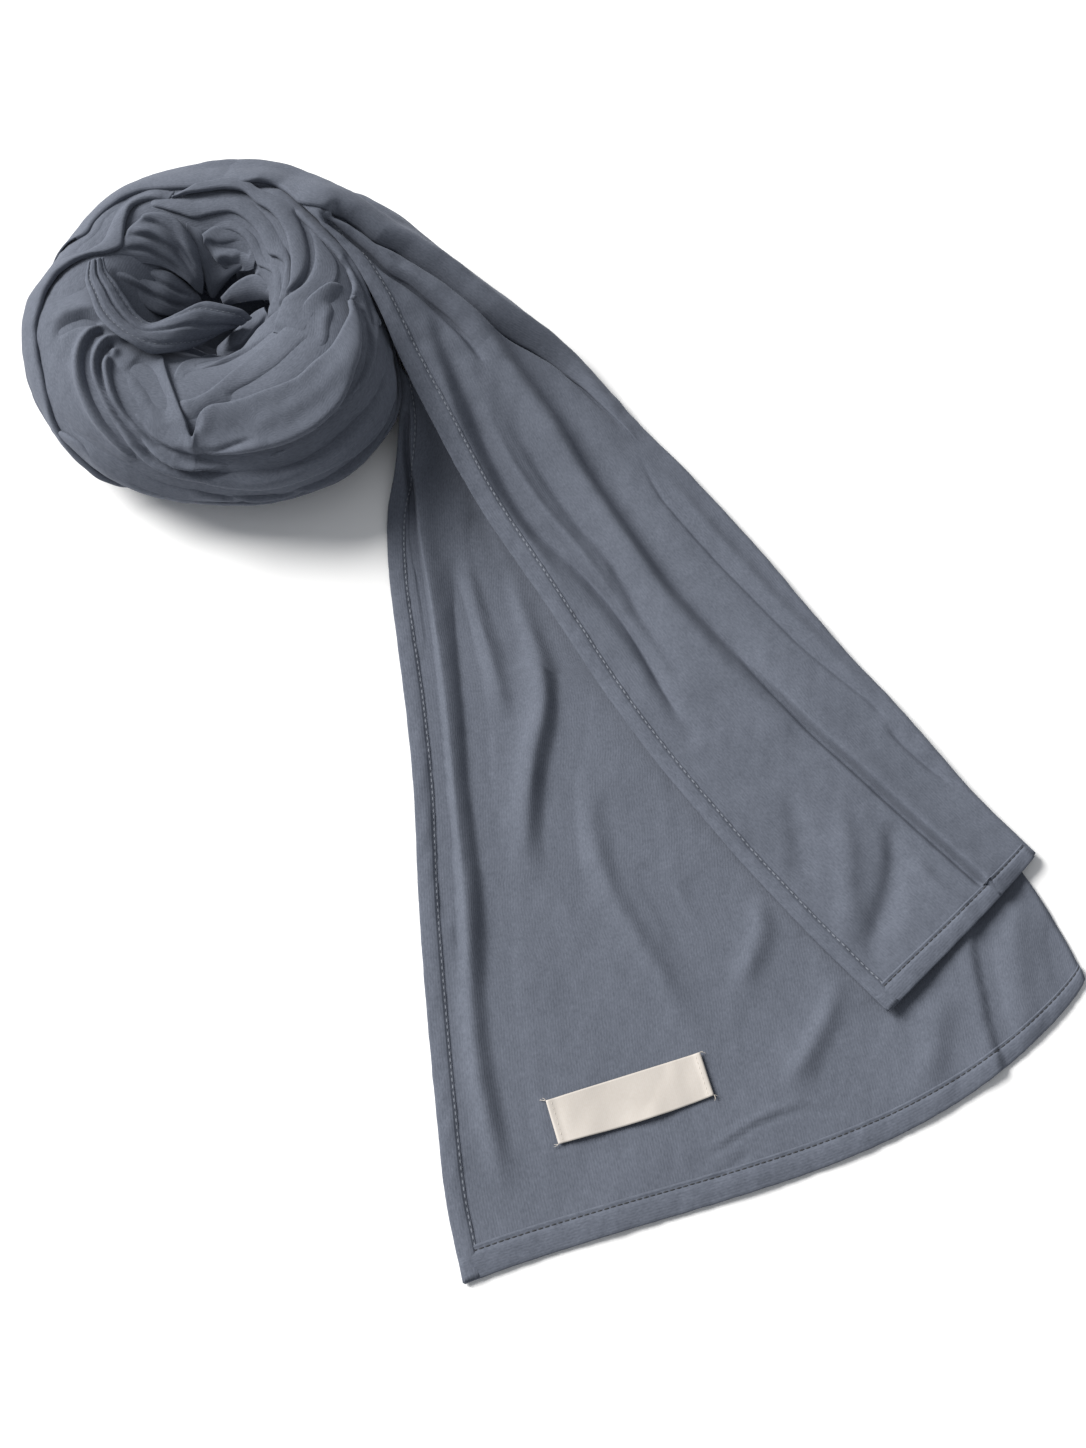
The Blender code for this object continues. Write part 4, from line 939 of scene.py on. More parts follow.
@dataclass
class TailPanel:
    """One layer of the tail.

    Attributes:
        name: Name of the piece.
        node: Node that it shows.
        sections: One row a section: hem point, fold point, roundness, crown and bow.
        folds: Folds on it, in the plan.
        strap: Sections of the strap over the coil, or none.
        lower: How far the sheet settles below its solid's outer points.
        rows: Rows of points along it.
        columns: Rows of points across.
        roll: Radius of the fold at its right edge.
        seed: Chooses the unevenness.
        fine: Points across each section of the form.
        shown: Share of the length, then share of the width that no other layer covers.
        bold: Scale of the folds' heights.
        base: Points of its form without folds, worked out from the sections.

    Of its columns, the share SHOWN_COLUMNS lies where the panel shows.  The strap is about
    STRAP_WIDTH wide, and its free edge stands off by TUBE over TUBE_WIDTH.  Below the height
    SETTLE_FROM the sheet settles, wholly so SETTLE_OVER further down.  The roll at its right edge
    opens out over ROLL_SHARE of the length.
    """

    name: str
    node: str
    sections: tuple
    folds: tuple
    strap: tuple = ()
    lower: float = 0.0
    rows: int = 290
    columns: int = 130
    roll: float = 0.0
    seed: int = 1
    fine: int = 181
    shown: tuple = ((0.0, 0.8), (1.0, 0.8))
    bold: float = 1.3
    base: np.ndarray = field(default=None, repr=False)
    SHOWN_COLUMNS: ClassVar[float] = 0.8
    STRAP_WIDTH: ClassVar[float] = 55.0
    TUBE: ClassVar[float] = 2.2
    TUBE_WIDTH: ClassVar[float] = 7.0
    SETTLE_FROM: ClassVar[float] = 12.0
    SETTLE_OVER: ClassVar[float] = 8.0
    ROLL_SHARE: ClassVar[float] = 0.12

    def __post_init__(self) -> None:
        """Work out the panel's form without its folds."""
        share = np.linspace(0, 1, self.fine)
        stack = [self._strap_row(row, share) for row in self.strap]
        stack += [self._row(row, share) for row in self.sections]
        stack = np.asarray(stack)
        gaps = np.linalg.norm(np.diff(stack, axis=0), axis=-1).mean(axis=1)
        marks = np.concatenate(((0.0,), np.cumsum(gaps)))
        self.length = float(marks[-1])
        self.base = smooth_through(stack, marks, np.linspace(0, self.length, 4 * self.rows))
        self.widths = np.linalg.norm(np.diff(self.base, axis=1), axis=-1).sum(axis=1)
        self.strap_share = marks[len(self.strap) - 1] / self.length if self.strap else 0.0

    @staticmethod
    def _row(row: tuple, share: np.ndarray) -> np.ndarray:
        """Points across a section given by its hem and its fold.

        Args:
            row: The section.
            share: Shares of the width.

        Returns:
            One point for each share.
        """
        hem, far = np.array(row[0:3], float), np.array(row[3:6], float)
        rounded, crown, bow = row[6:9]
        across = (1 - rounded) * share + rounded * np.sin(0.5 * math.pi * share)
        drop = (1 - rounded) * (1 - share) + rounded * np.cos(0.5 * math.pi * share)
        reach = far[:2] - hem[:2]
        outward = np.array((reach[1], -reach[0])) / np.linalg.norm(reach)
        swell = np.sin(math.pi * np.clip(share, 0.0, 1.0))
        bulge = bow * np.sin(math.pi * np.clip(share, 0.0, 1.0) ** 1.6) ** 0.8
        plan = hem[:2] + across[:, None] * reach + bulge[:, None] * outward
        return np.column_stack((plan, far[2] + (hem[2] - far[2]) * drop + crown * swell))

    @staticmethod
    def _strap_row(row: tuple, share: np.ndarray) -> np.ndarray:
        """Points across a section of the strap, from its seam to the foot of the coil.

        Args:
            row: The section.
            share: Shares of the width.

        Returns:
            One point for each share.
        """
        seam_plan, foot_plan, foot_profile = row
        seam = float(smooth_through([s[1] for s in STRAP_SEAM], [s[0] for s in STRAP_SEAM], seam_plan)[0])
        return COIL.point(seam_plan + (foot_plan - seam_plan) * share,
                          seam + (foot_profile - seam) * share)

    def surface(self, along: np.ndarray, across: np.ndarray) -> tuple[np.ndarray, np.ndarray]:
        """Points of the panel with its folds.

        Args:
            along: Millimetres from the panel's start, one for each row.
            across: Share of the width, one row of shares or a grid of them.

        Returns:
            The points, and the directions off the form.
        """
        row = np.clip(along / self.length, 0, 1) * (len(self.base) - 1)
        low = np.minimum(row.astype(int), len(self.base) - 2)
        part = (row - low)[:, None, None]
        line = self.base[low] * (1 - part) + self.base[low + 1] * part
        across = np.broadcast_to(across, (len(along), np.shape(across)[-1]))
        column = np.clip(across, 0, 1) * (self.fine - 1)
        left = np.minimum(column.astype(int), self.fine - 2)
        part = (column - left)[..., None]
        pick = np.arange(len(along))[:, None]
        points = line[pick, left] * (1 - part) + line[pick, left + 1] * part
        off = grid_normals(points)
        lift = self.bold * Relief(self.folds).at(points[..., :2]) + 0.4 * uneven(points, 46.0, self.seed)
        lift = lift + 0.16 * uneven(points, 13.0, self.seed + 40)
        wound = np.clip((self.strap_share * self.length - along) / 12.0, 0, 1)[:, None]
        tube = np.exp(-(across * self.STRAP_WIDTH / self.TUBE_WIDTH) ** 2)
        lift = lift + self.TUBE * wound * tube
        points = points + off * lift[..., None]
        settle = np.clip((self.SETTLE_FROM - points[..., 2]) / self.SETTLE_OVER, 0, 1)
        points[..., 2] = np.maximum(points[..., 2] - self.lower * settle, LOWEST_PANEL)
        return points, off

    def build(self, material: bpy.types.Material, rests_on: Sequence = ()) -> Sheet:
        """Build the panel.

        Args:
            material: Its cloth.
            rests_on: What it lies on.

        Returns:
            The sheet.
        """
        along = np.linspace(0, self.length, self.rows)
        marks, shares = np.transpose(self.shown)
        shown = np.interp(along / self.length, marks, shares)[:, None]
        place = np.linspace(0, 1, self.columns)[None, :]
        limit = self.SHOWN_COLUMNS
        across = np.where(place < limit, shown * place / limit,
                          shown + (1 - shown) * (place - limit) / 0.2)
        points, off = self.surface(along, across)
        if self.roll:
            leave = np.clip((along / self.length - self.strap_share) / self.ROLL_SHARE, 0, 1)
            radius = 0.25 + (self.roll - 0.25) * leave
            wound = np.clip((self.strap_share * self.length - along) / 10.0, 0, 1)
            points = rolled(points, off, 0.02 + 1.4 * wound[:, None], radius[:, None])
        points[..., 2] = np.maximum(points[..., 2], LOWEST_EDGE)
        sheet = Sheet(self.name, self.node, "cloth", material)
        return sheet.lay(points, CLOTH_WALL, Held.LAID, rests_on)


@dataclass
class FoldOver:
    """A pleat of a panel's cloth that lies over the panel.

    Attributes:
        name: Name of the piece.
        panel: The panel.
        edge: Points of the pleat's rounded edge in the plan.
        far: Points of the line under which its cloth runs on, or none for the panel's right edge.
        height: How far the rounded edge stands off the panel.
        roll: Radius of the rounded edge.
        ends: Shares of its length over which it rises and sinks.
        lead: Millimetres that it starts before its first point, at the panel's left edge.
        rows: Rows of points along it.
        columns: Rows of points across.

    Away from its edge it lies REST off the panel, and its ends sink SUNK into it.  Its cloth runs
    on under the far line by the share UNDER of the panel's width.
    """

    name: str
    panel: TailPanel
    edge: tuple
    far: tuple = ()
    height: float = 2.6
    roll: float = 1.3
    ends: tuple[float, float] = (0.06, 0.4)
    lead: float = 0.0
    rows: int = 170
    columns: int = 30
    REST: ClassVar[float] = 0.5
    SUNK: ClassVar[float] = 0.9
    UNDER: ClassVar[float] = 0.04

    def _locate(self, line: tuple) -> tuple[np.ndarray, np.ndarray]:
        """Find a line of the plan on the panel.

        Args:
            line: Points in the plan.

        Returns:
            Millimetres along the panel and shares of its width.
        """
        base = self.panel.base
        found = [np.unravel_index(np.argmin(np.sum((base[..., :2] - spot) ** 2, -1)), base.shape[:2])
                 for spot in np.asarray(line, float)]
        row, column = np.transpose(found)
        along = row / (len(base) - 1) * self.panel.length
        order = np.argsort(along)
        return along[order], column[order] / (base.shape[1] - 1)

    def build(self, material: bpy.types.Material, rests_on: Sequence = ()) -> Sheet:
        """Build the pleat.

        Args:
            material: Its cloth.
            rests_on: What it lies on.

        Returns:
            The sheet.
        """
        marks, shares = self._locate(self.edge)
        if self.lead:
            marks = np.concatenate((marks[0] - self.lead * np.array((1.0, 0.5)), marks))
            shares = np.concatenate(((0.0, 0.0), shares))
        along = np.linspace(marks[0], marks[-1], self.rows)
        inner = smooth_through(shares, marks + np.arange(len(marks)) * 1e-3, along)
        outer = np.ones(self.rows)
        if self.far:
            outer = np.minimum(np.interp(along, *self._locate(self.far)) + self.UNDER, 1.0)
        place = np.linspace(0, 1, self.columns)[None, :]
        points, off = self.panel.surface(along, inner[:, None] + (outer - inner)[:, None] * place)
        run = np.linspace(0, 1, self.rows)
        rise = np.minimum(run / self.ends[0], (1 - run) / self.ends[1])
        rise = np.sin(0.5 * math.pi * np.clip(rise, 0, 1))[:, None]
        stand = self.REST + (self.height - self.REST) * (1 - place) ** 1.5
        points = points + off * (rise * (stand + self.SUNK) - self.SUNK)[..., None]
        last = 0.0
        if not self.far:
            beyond = along / self.panel.length - self.panel.strap_share
            leave = np.clip(beyond / self.panel.ROLL_SHARE, 0, 1)
            last = (0.3 + self.panel.roll * leave)[:, None]
        grid = rolled(points, off, 0.1 + (self.roll - 0.1) * rise, last, turn=170.0)
        grid[..., 2] = np.maximum(grid[..., 2], LOWEST_EDGE)
        sheet = Sheet(self.name, self.panel.node, "cloth", material)
        return sheet.lay(grid, CLOTH_WALL, Held.FOLDED, rests_on)


@dataclass
class StitchRow:
    """A row of stitches through a hem.

    Attributes:
        name: Name of the piece.
        node: Node that it shows.
        pitch: Distance between stitches.
        length: Length of one stitch.
        thick: Thickness of the thread.
        sink: How far a stitch sinks into the cloth.
    """

    name: str
    node: str
    pitch: float = 2.65
    length: float = 2.35
    thick: float = 0.78
    sink: float = 0.02

    def build(self, lines: list, material: bpy.types.Material, slot: str = "hem") -> Piece:
        """Lay stitches along lines of points.

        Args:
            lines: Pairs of points and directions off the cloth, in plan millimetres.
            material: The thread.
            slot: Material slot of the thread.

        Returns:
            The stitches as one piece.
        """
        bpy.ops.mesh.primitive_uv_sphere_add(segments=8, ring_count=5, radius=0.5)
        template = bpy.context.object
        pattern = np.array([v.co[:] for v in template.data.vertices])
        faces = [tuple(p.vertices) for p in template.data.polygons]
        bpy.data.objects.remove(template)
        points, polygons = [], []
        for line, off in lines:
            gaps = np.linalg.norm(np.diff(line, axis=0), axis=1)
            marks = np.concatenate(((0.0,), np.cumsum(gaps)))
            count = max(int(marks[-1] / self.pitch), 1)
            for place in (np.arange(count) + 0.5) * marks[-1] / count:
                middle, up = (self._read(table, marks, place) for table in (line, off))
                ahead, behind = (self._read(line, marks, place + step) for step in (0.5, -0.5))
                forward = unit(ahead - behind)
                up = unit(up - forward * (up @ forward))
                side = np.cross(up, forward)
                size = pattern * np.array((self.length, self.thick, 0.8 * self.thick))
                placed = (size[:, :1] * forward + size[:, 1:2] * side + size[:, 2:] * up
                          + middle - up * self.sink)
                polygons += [tuple(i + len(points) for i in face) for face in faces]
                points += to_world(placed).tolist()
        mesh = bpy.data.meshes.new(self.name)
        mesh.from_pydata(points, [], polygons)
        # Reach from each stitch's middle, 0 to 1: the mask by which the thread's ends darken with painted
        # shade.
        reach = np.tile(2 * np.abs(pattern[:, 0]), len(points) // len(pattern))
        mesh.attributes.new("reach", "FLOAT", "POINT").data.foreach_set("value", reach)
        piece = Piece(self.name, self.node, slot, material).finish(mesh)
        LOG.info("%s: %d stitches", self.name, len(polygons) // len(faces))
        return piece

    @staticmethod
    def _read(table: np.ndarray, marks: np.ndarray, place: float) -> np.ndarray:
        """Read a table of three columns at one place along a line."""
        return np.array([np.interp(place, marks, table[:, k]) for k in range(3)])


@dataclass
class Hem:
    """A narrow hem, turned and stitched down along an edge of a panel.

    Attributes:
        name: Name of the piece.
        node: Node that it shows.
        panel: The panel whose edge it finishes.
        width: Width of the hem.
        end: Whether it runs across the panel's end and not along its left side.
        thick: How far its inner edge stands off the panel.
        roll: Radius of the turned edge.
        seam: Distance of the stitches from its inner edge.
        first: Where it starts along the panel, in millimetres.

    It has a row of points each ROW millimetres and COLUMNS across.  Its middle swells by SWELL,
    and its stitches pull a groove of GROOVE into it, GROOVE_WIDTH wide.  INNER is how far its
    inner edge itself stands off the panel.  RIPPLE is the height, size and pattern of its waves.
    """

    name: str
    node: str
    panel: TailPanel
    width: float
    end: bool = False
    thick: float = 0.75
    roll: float = 0.75
    seam: float = 0.7
    first: float = 0.0
    ROW: ClassVar[float] = 1.6
    COLUMNS: ClassVar[int] = 15
    SWELL: ClassVar[float] = 0.5
    GROOVE: ClassVar[float] = 0.75
    GROOVE_WIDTH: ClassVar[float] = 0.5
    INNER: ClassVar[float] = 0.05
    RIPPLE: ClassVar[tuple] = (0.14, 6.0, 31)

    def _grid(self, offsets: np.ndarray, count: int) -> tuple[np.ndarray, np.ndarray]:
        """Rows along the edge with columns at the given distances from it.

        Args:
            offsets: Distances from the edge in millimetres.
            count: Number of rows.

        Returns:
            The points and the directions off them.
        """
        panel = self.panel
        if self.end:
            along = panel.length - offsets[::-1]
            points, off = panel.surface(along, np.linspace(0, 1, count))
            return points.swapaxes(0, 1)[:, ::-1], off.swapaxes(0, 1)[:, ::-1]
        along = np.linspace(self.first, panel.length, count)
        marks = np.linspace(0, panel.length, len(panel.widths))
        width = np.interp(along, marks, panel.widths)
        return panel.surface(along, offsets[None, :] / width[:, None])

    def build(self, cloth: bpy.types.Material, thread: bpy.types.Material,
              rests_on: Sequence = ()) -> list:
        """Build the hem and its stitches.

        Args:
            cloth: Material of the hem.
            thread: Material of the stitches.
            rests_on: What it lies on.

        Returns:
            The hem's sheet and its stitches.
        """
        offsets = np.concatenate((np.linspace(0.0, self.width - 0.3, self.COLUMNS), (self.width,)))
        length = self.panel.widths[-1] if self.end else self.panel.length - self.first
        points, off = self._grid(offsets, int(length / self.ROW))
        place = offsets / self.width
        groove = np.exp(-((offsets - self.width + self.seam) / self.GROOVE_WIDTH) ** 2)
        lift = self.thick + self.SWELL * np.sin(math.pi * place) - self.GROOVE * groove
        lift[-1] = self.INNER
        height, coarse, seed = self.RIPPLE
        ripple = height * uneven(points, coarse, seed)
        top = points + off * (lift[None, :] + ripple)[..., None]
        seam = self.width - self.seam
        column = int(np.clip(np.searchsorted(offsets, seam) - 1, 0, len(offsets) - 2))
        part = (seam - offsets[column]) / (offsets[column + 1] - offsets[column])
        line = top[:, column] + (top[:, column + 1] - top[:, column]) * part
        grid = rolled(top, off, self.roll, 0.0, turn=150.0, steps=5)
        grid[..., 2] = np.maximum(grid[..., 2], LOWEST_HEM)
        stitches = StitchRow(self.name + "_stitches", self.node).build([(line, off[:, column])], thread)
        sheet = Sheet(self.name, self.node, "hem", cloth)
        sheet.lay(grid, HEM_WALL, Held.FOLDED, rests_on, with_pieces=[stitches])
        return [sheet, stitches]


@dataclass
class EndStrip:
    """The narrow hemmed end that lies over the middle of the coil.

    Attributes:
        rows: Rows of points along it.
        columns: Rows of points across.
        seams: Shares of the width at which it is stitched.

    It swells by SWELL, with a groove of SEAM_GROOVE at the stitches and a fold as deep as the
    swell along FOLD_AT.  The grooves and the fold are LINE wide, as a share of the width.
    """

    rows: int = 150
    columns: int = 36
    seams: tuple[float, float] = (0.17, 0.86)
    SWELL: ClassVar[float] = 1.1
    SEAM_GROOVE: ClassVar[float] = 0.6
    FOLD_AT: ClassVar[float] = 0.52
    LINE: ClassVar[float] = 0.05

    def build(self, cloth: bpy.types.Material, thread: bpy.types.Material) -> list:
        """Build the strip and its stitches.

        Args:
            cloth: Material of the strip.
            thread: Material of the stitches.

        Returns:
            The pieces.
        """
        table = np.asarray(END_STRIP, float)
        marks = np.concatenate(((0.0,), np.cumsum(np.linalg.norm(np.diff(table[:, :3], axis=0), axis=1))))
        rows = smooth_through(table, marks, np.linspace(0, marks[-1], self.rows))
        share = np.linspace(0, 1, self.columns)
        points = rows[:, None, :3] + (rows[:, None, 3:] - rows[:, None, :3]) * share[None, :, None]
        off = grid_normals(points)
        if off[..., 2].mean() < 0:
            points, share = points[:, ::-1], share[::-1]
            off = grid_normals(points)
        first, second, fold = (np.exp(-((share - at) / self.LINE) ** 2)
                               for at in (*self.seams, self.FOLD_AT))
        groove = first + 0.8 * second
        lift = (self.SWELL * np.sin(math.pi * share) ** 0.6 - self.SEAM_GROOVE * groove
                - self.SWELL * fold)
        puckers = 0.06 * uneven(points, 5.0, 61) + 0.12 * uneven(points, 18.0, 62)
        top = points + off * (lift[None, :] + puckers)[..., None]
        grid = rolled(top, off, 0.9, 0.9, turn=150.0)
        columns = [int(np.argmin(abs(share - at))) for at in self.seams]
        lines = [(top[2:-2, c], off[2:-2, c]) for c in columns]
        stitches = StitchRow("strip_stitches", "end_strip", pitch=2.4, length=1.5, thick=0.42).build(
            lines, thread)
        sheet = Sheet("end_strip_cloth", "end_strip", "hem", cloth)
        sheet.lay(grid, STRIP_WALL, Held.FOLDED, ["heart"], with_pieces=[stitches])
        return [sheet, stitches]


@dataclass
class Label:
    """The woven label sewn to the lower layer by its two short ends.

    Attributes:
        corners: Corners of the label in the plan.
        rows: Rows of points along it.
        columns: Rows of points across.
        fold: Width of the turned short ends.
        sag: How far its lower edge bows between its ends.
        bow: How far its middle stands off the cloth.
        flutter: Height of the waves along its lower edge.
        raised: How far the corner at its right end lifts.
        raised_from: Share of the length from which that corner lifts.

    Its stitches run SEAM_IN inside its turned ends.  It lies CLEAR off the cloth below, which is
    found by looking down from the height ABOVE.
    """

    corners: tuple = ((1, -158), (62, -139), (67, -156), (6, -175))
    rows: int = 90
    columns: int = 28
    fold: float = 2.6
    sag: float = 1.1
    bow: float = 0.9
    flutter: float = 0.8
    raised: float = 0.6
    raised_from: float = 0.86
    SEAM_IN: ClassVar[float] = 0.7
    ABOVE: ClassVar[float] = 60.0
    CLEAR: ClassVar[float] = 0.65

    def build(self, under: Sheet, satin: bpy.types.Material, thread: bpy.types.Material) -> list:
        """Build the label, its stitches and the loose ends of its thread.

        Args:
            under: The sheet of the layer that it is sewn to.
            satin: Material of the label.
            thread: Material of its thread.

        Returns:
            The pieces.
        """
        a, b, c, d = (np.array(corner, float) for corner in self.corners)
        along = np.linspace(0, 1, self.rows)[:, None, None]
        across = np.linspace(0, 1, self.columns)[None, :, None]
        plan = (d + (c - d) * along) * (1 - across) + (a + (b - a) * along) * across
        sag = self.sag * np.sin(math.pi * along[..., 0] ** 1.2) * (1 - across[..., 0]) ** 2
        plan = plan - sag[..., None] * unit(a - d)
        tree = BVHTree.FromPolygons([v.co[:] for v in under.object.data.vertices],
                                    [tuple(p.vertices) for p in under.object.data.polygons])
        height = np.zeros(plan.shape[:2])
        for index in np.ndindex(height.shape):
            start = Vector(to_world(np.array((*plan[index], self.ABOVE))).tolist())
            found = tree.ray_cast(start, Vector((0, 0, -1)))[0]
            height[index] = found.z / MM if found else 2.4
        length = float(np.linalg.norm(b - a))
        run, width = along[..., 0] * length, across[..., 0]
        near_end = np.minimum(run, length - run)
        fold = 0.45 / (1 + np.exp((near_end - self.fold) * 5.0))
        bow = self.bow * np.sin(math.pi * along[..., 0]) ** 0.7
        flutter = self.flutter * (1 - width) ** 2 * np.sin(2.2 * math.pi * along[..., 0] + 0.5) ** 2
        seam = 0.3 * np.exp(-((near_end - self.fold + self.SEAM_IN) / 0.35) ** 2)
        lifted = self.raised * np.clip(along[..., 0] - self.raised_from, 0, 1) / 0.14 * width
        rise = self.CLEAR + fold - seam + bow + flutter + lifted
        points = np.concatenate((plan, (height + rise)[..., None]), -1)
        off = grid_normals(points)
        if off[..., 2].mean() < 0:
            points, off = points[:, ::-1], -off[:, ::-1]
        rows = [int(round((self.fold - self.SEAM_IN) / length * (self.rows - 1)))]
        rows.append(self.rows - 1 - rows[0])
        lines = [(points[row, 1:-1], off[row, 1:-1]) for row in rows]
        stitches = StitchRow("label_stitches", "label", pitch=1.9, length=1.3, thick=0.34).build(
            lines, thread, "label")
        ends = self._loose_ends(points, thread)
        sheet = Sheet("label_satin", "label", "label", satin)
        sheet.lay(points, LABEL_WALL, Held.LAID, [under], with_pieces=[stitches, ends])
        return [sheet, stitches, ends]

    @staticmethod
    def _loose_ends(points: np.ndarray, thread: bpy.types.Material) -> Piece:
        """Build short frayed thread ends at the label's corners.

        Args:
            points: The label's points.
            thread: Material of the thread.

        Returns:
            The thread ends as one piece.
        """
        chance = np.random.default_rng(77)
        spots, faces = [], []
        sides, steps = 6, 8
        for corner, way in ((points[0, 0], (-1, -0.4)), (points[0, -1], (-1, 0.6)),
                            (points[-1, 0], (1, -0.6)), (points[-1, -1], (1, 0.5))):
            for _ in range(3):
                heading = math.atan2(way[1], way[0]) + chance.uniform(-0.7, 0.7)
                length, bend = chance.uniform(1.2, 2.8), chance.uniform(-0.5, 0.5)
                place, path = np.array(corner, float), []
                for step in range(steps + 1):
                    path.append(place.copy())
                    turn = heading + bend * step / 3
                    drop = -0.22 if place[2] > 1.9 else 0.0
                    place = place + np.array((math.cos(turn), math.sin(turn), drop)) * length / steps
                first = len(spots)
                for step, spot in enumerate(path):
                    ahead = unit(path[min(step + 1, steps)] - path[max(step - 1, 0)])
                    side = unit(np.cross(ahead, (0, 0, 1)))
                    up = np.cross(side, ahead)
                    thick = 0.13 * (1 - 0.5 * step / steps)
                    for k in range(sides):
                        angle = 2 * math.pi * k / sides
                        spots.append(to_world(spot + thick * (math.cos(angle) * side
                                                              + math.sin(angle) * up)).tolist())
                for step in range(steps):
                    low = first + step * sides
                    faces += [(low + k, low + (k + 1) % sides, low + sides + (k + 1) % sides,
                               low + sides + k) for k in range(sides)]
                faces.append(tuple(first + k for k in reversed(range(sides))))
                faces.append(tuple(first + steps * sides + k for k in range(sides)))
        mesh = bpy.data.meshes.new("label_threads")
        mesh.from_pydata(spots, [], faces)
        shape = bmesh.new()
        shape.from_mesh(mesh)
        bmesh.ops.recalc_face_normals(shape, faces=shape.faces)
        shape.to_mesh(mesh)
        shape.free()
        return Piece("label_threads", "label", "label", thread).finish(mesh)


class Value:
    """A shader socket that takes sums and products like a number."""

    def __init__(self, tree: bpy.types.NodeTree, socket: bpy.types.NodeSocket) -> None:
        """Wrap a socket.

        Args:
            tree: Node tree that holds it.
            socket: The output socket.
        """
        self.tree, self.socket = tree, socket

    def _maths(self, operation: str, first: "Value | float",
               second: "Value | float | None" = None) -> "Value":
        """Add one Math node.

        Args:
            operation: The node's operation.
            first: First value.
            second: Second value, if the operation takes one.

        Returns:
            Its result.
        """
        node = self.tree.nodes.new("ShaderNodeMath")
        node.operation = operation
        for slot, item in enumerate((first, second)):
            if isinstance(item, Value):
                self.tree.links.new(item.socket, node.inputs[slot])
            elif item is not None:
                node.inputs[slot].default_value = item
        return Value(self.tree, node.outputs[0])

    def __add__(self, other: "Value | float") -> "Value":
        """This value plus another."""
        return self._maths("ADD", self, other)

    def __radd__(self, other: "Value | float") -> "Value":
        """Another value plus this one."""
        return self._maths("ADD", other, self)

    def __sub__(self, other: "Value | float") -> "Value":
        """This value less another."""
        return self._maths("SUBTRACT", self, other)

    def __rsub__(self, other: "Value | float") -> "Value":
        """Another value less this one."""
        return self._maths("SUBTRACT", other, self)

    def __mul__(self, other: "Value | float") -> "Value":
        """This value times another."""
        return self._maths("MULTIPLY", self, other)

    def __rmul__(self, other: "Value | float") -> "Value":
        """Another value times this one."""
        return self._maths("MULTIPLY", other, self)

    def __truediv__(self, other: "Value | float") -> "Value":
        """This value over another."""
        return self._maths("DIVIDE", self, other)

    def __rtruediv__(self, other: "Value | float") -> "Value":
        """Another value over this one."""
        return self._maths("DIVIDE", other, self)

    def sine(self) -> "Value":
        """Sine of the value."""
        return self._maths("SINE", self)


class Shader:
    """Builds one material out of nodes."""

    def __init__(self, name: str) -> None:
        """Start a material.

        Args:
            name: Its name.
        """
        self.material = bpy.data.materials.new(name)
        self.material.use_nodes = True
        self.tree = self.material.node_tree
        self.surface = self.tree.nodes["Principled BSDF"]

    def node(self, kind: str, settings: dict | None = None, **sockets: object) -> bpy.types.Node:
        """Add a node.

        Args:
            kind: Type of the node, without its common start.
            settings: Its properties.
            sockets: Inputs by name, with _ for a space.

        Returns:
            The node.
        """
        made = self.tree.nodes.new("ShaderNode" + kind)
        for key, item in (settings or {}).items():
            setattr(made, key, item)
        for key, item in sockets.items():
            self.join(made.inputs[key.replace("_", " ")], item)
        return made

    def join(self, target: bpy.types.NodeSocket, item: object) -> None:
        """Link or set an input.

        Args:
            target: The input socket.
            item: A value, an output socket or a constant.
        """
        if isinstance(item, Value):
            self.tree.links.new(item.socket, target)
        elif isinstance(item, bpy.types.NodeSocket):
            self.tree.links.new(item, target)
        else:
            target.default_value = item

    def value(self, socket: bpy.types.NodeSocket) -> Value:
        """Wrap an output socket.

        Args:
            socket: The socket.

        Returns:
            The wrapped socket.
        """
        return Value(self.tree, socket)

    def blend(self, share: object, low: object, high: object) -> bpy.types.NodeSocket:
        """Mix two colours.

        Args:
            share: Share of the second colour.
            low: First colour.
            high: Second colour.

        Returns:
            Socket of the mixed colour.
        """
        mix = self.tree.nodes.new("ShaderNodeMix")
        mix.data_type = "RGBA"
        self.join(mix.inputs[0], share)
        self.join(mix.inputs[6], low)
        self.join(mix.inputs[7], high)
        return mix.outputs[2]

    def finish(self, **sockets: object) -> bpy.types.Material:
        """Set the surface's inputs.

        Args:
            sockets: Inputs by name, with _ for a space.

        Returns:
            The material.
        """
        for key, item in sockets.items():
            self.join(self.surface.inputs[key.replace("_", " ")], item)
        return self.material


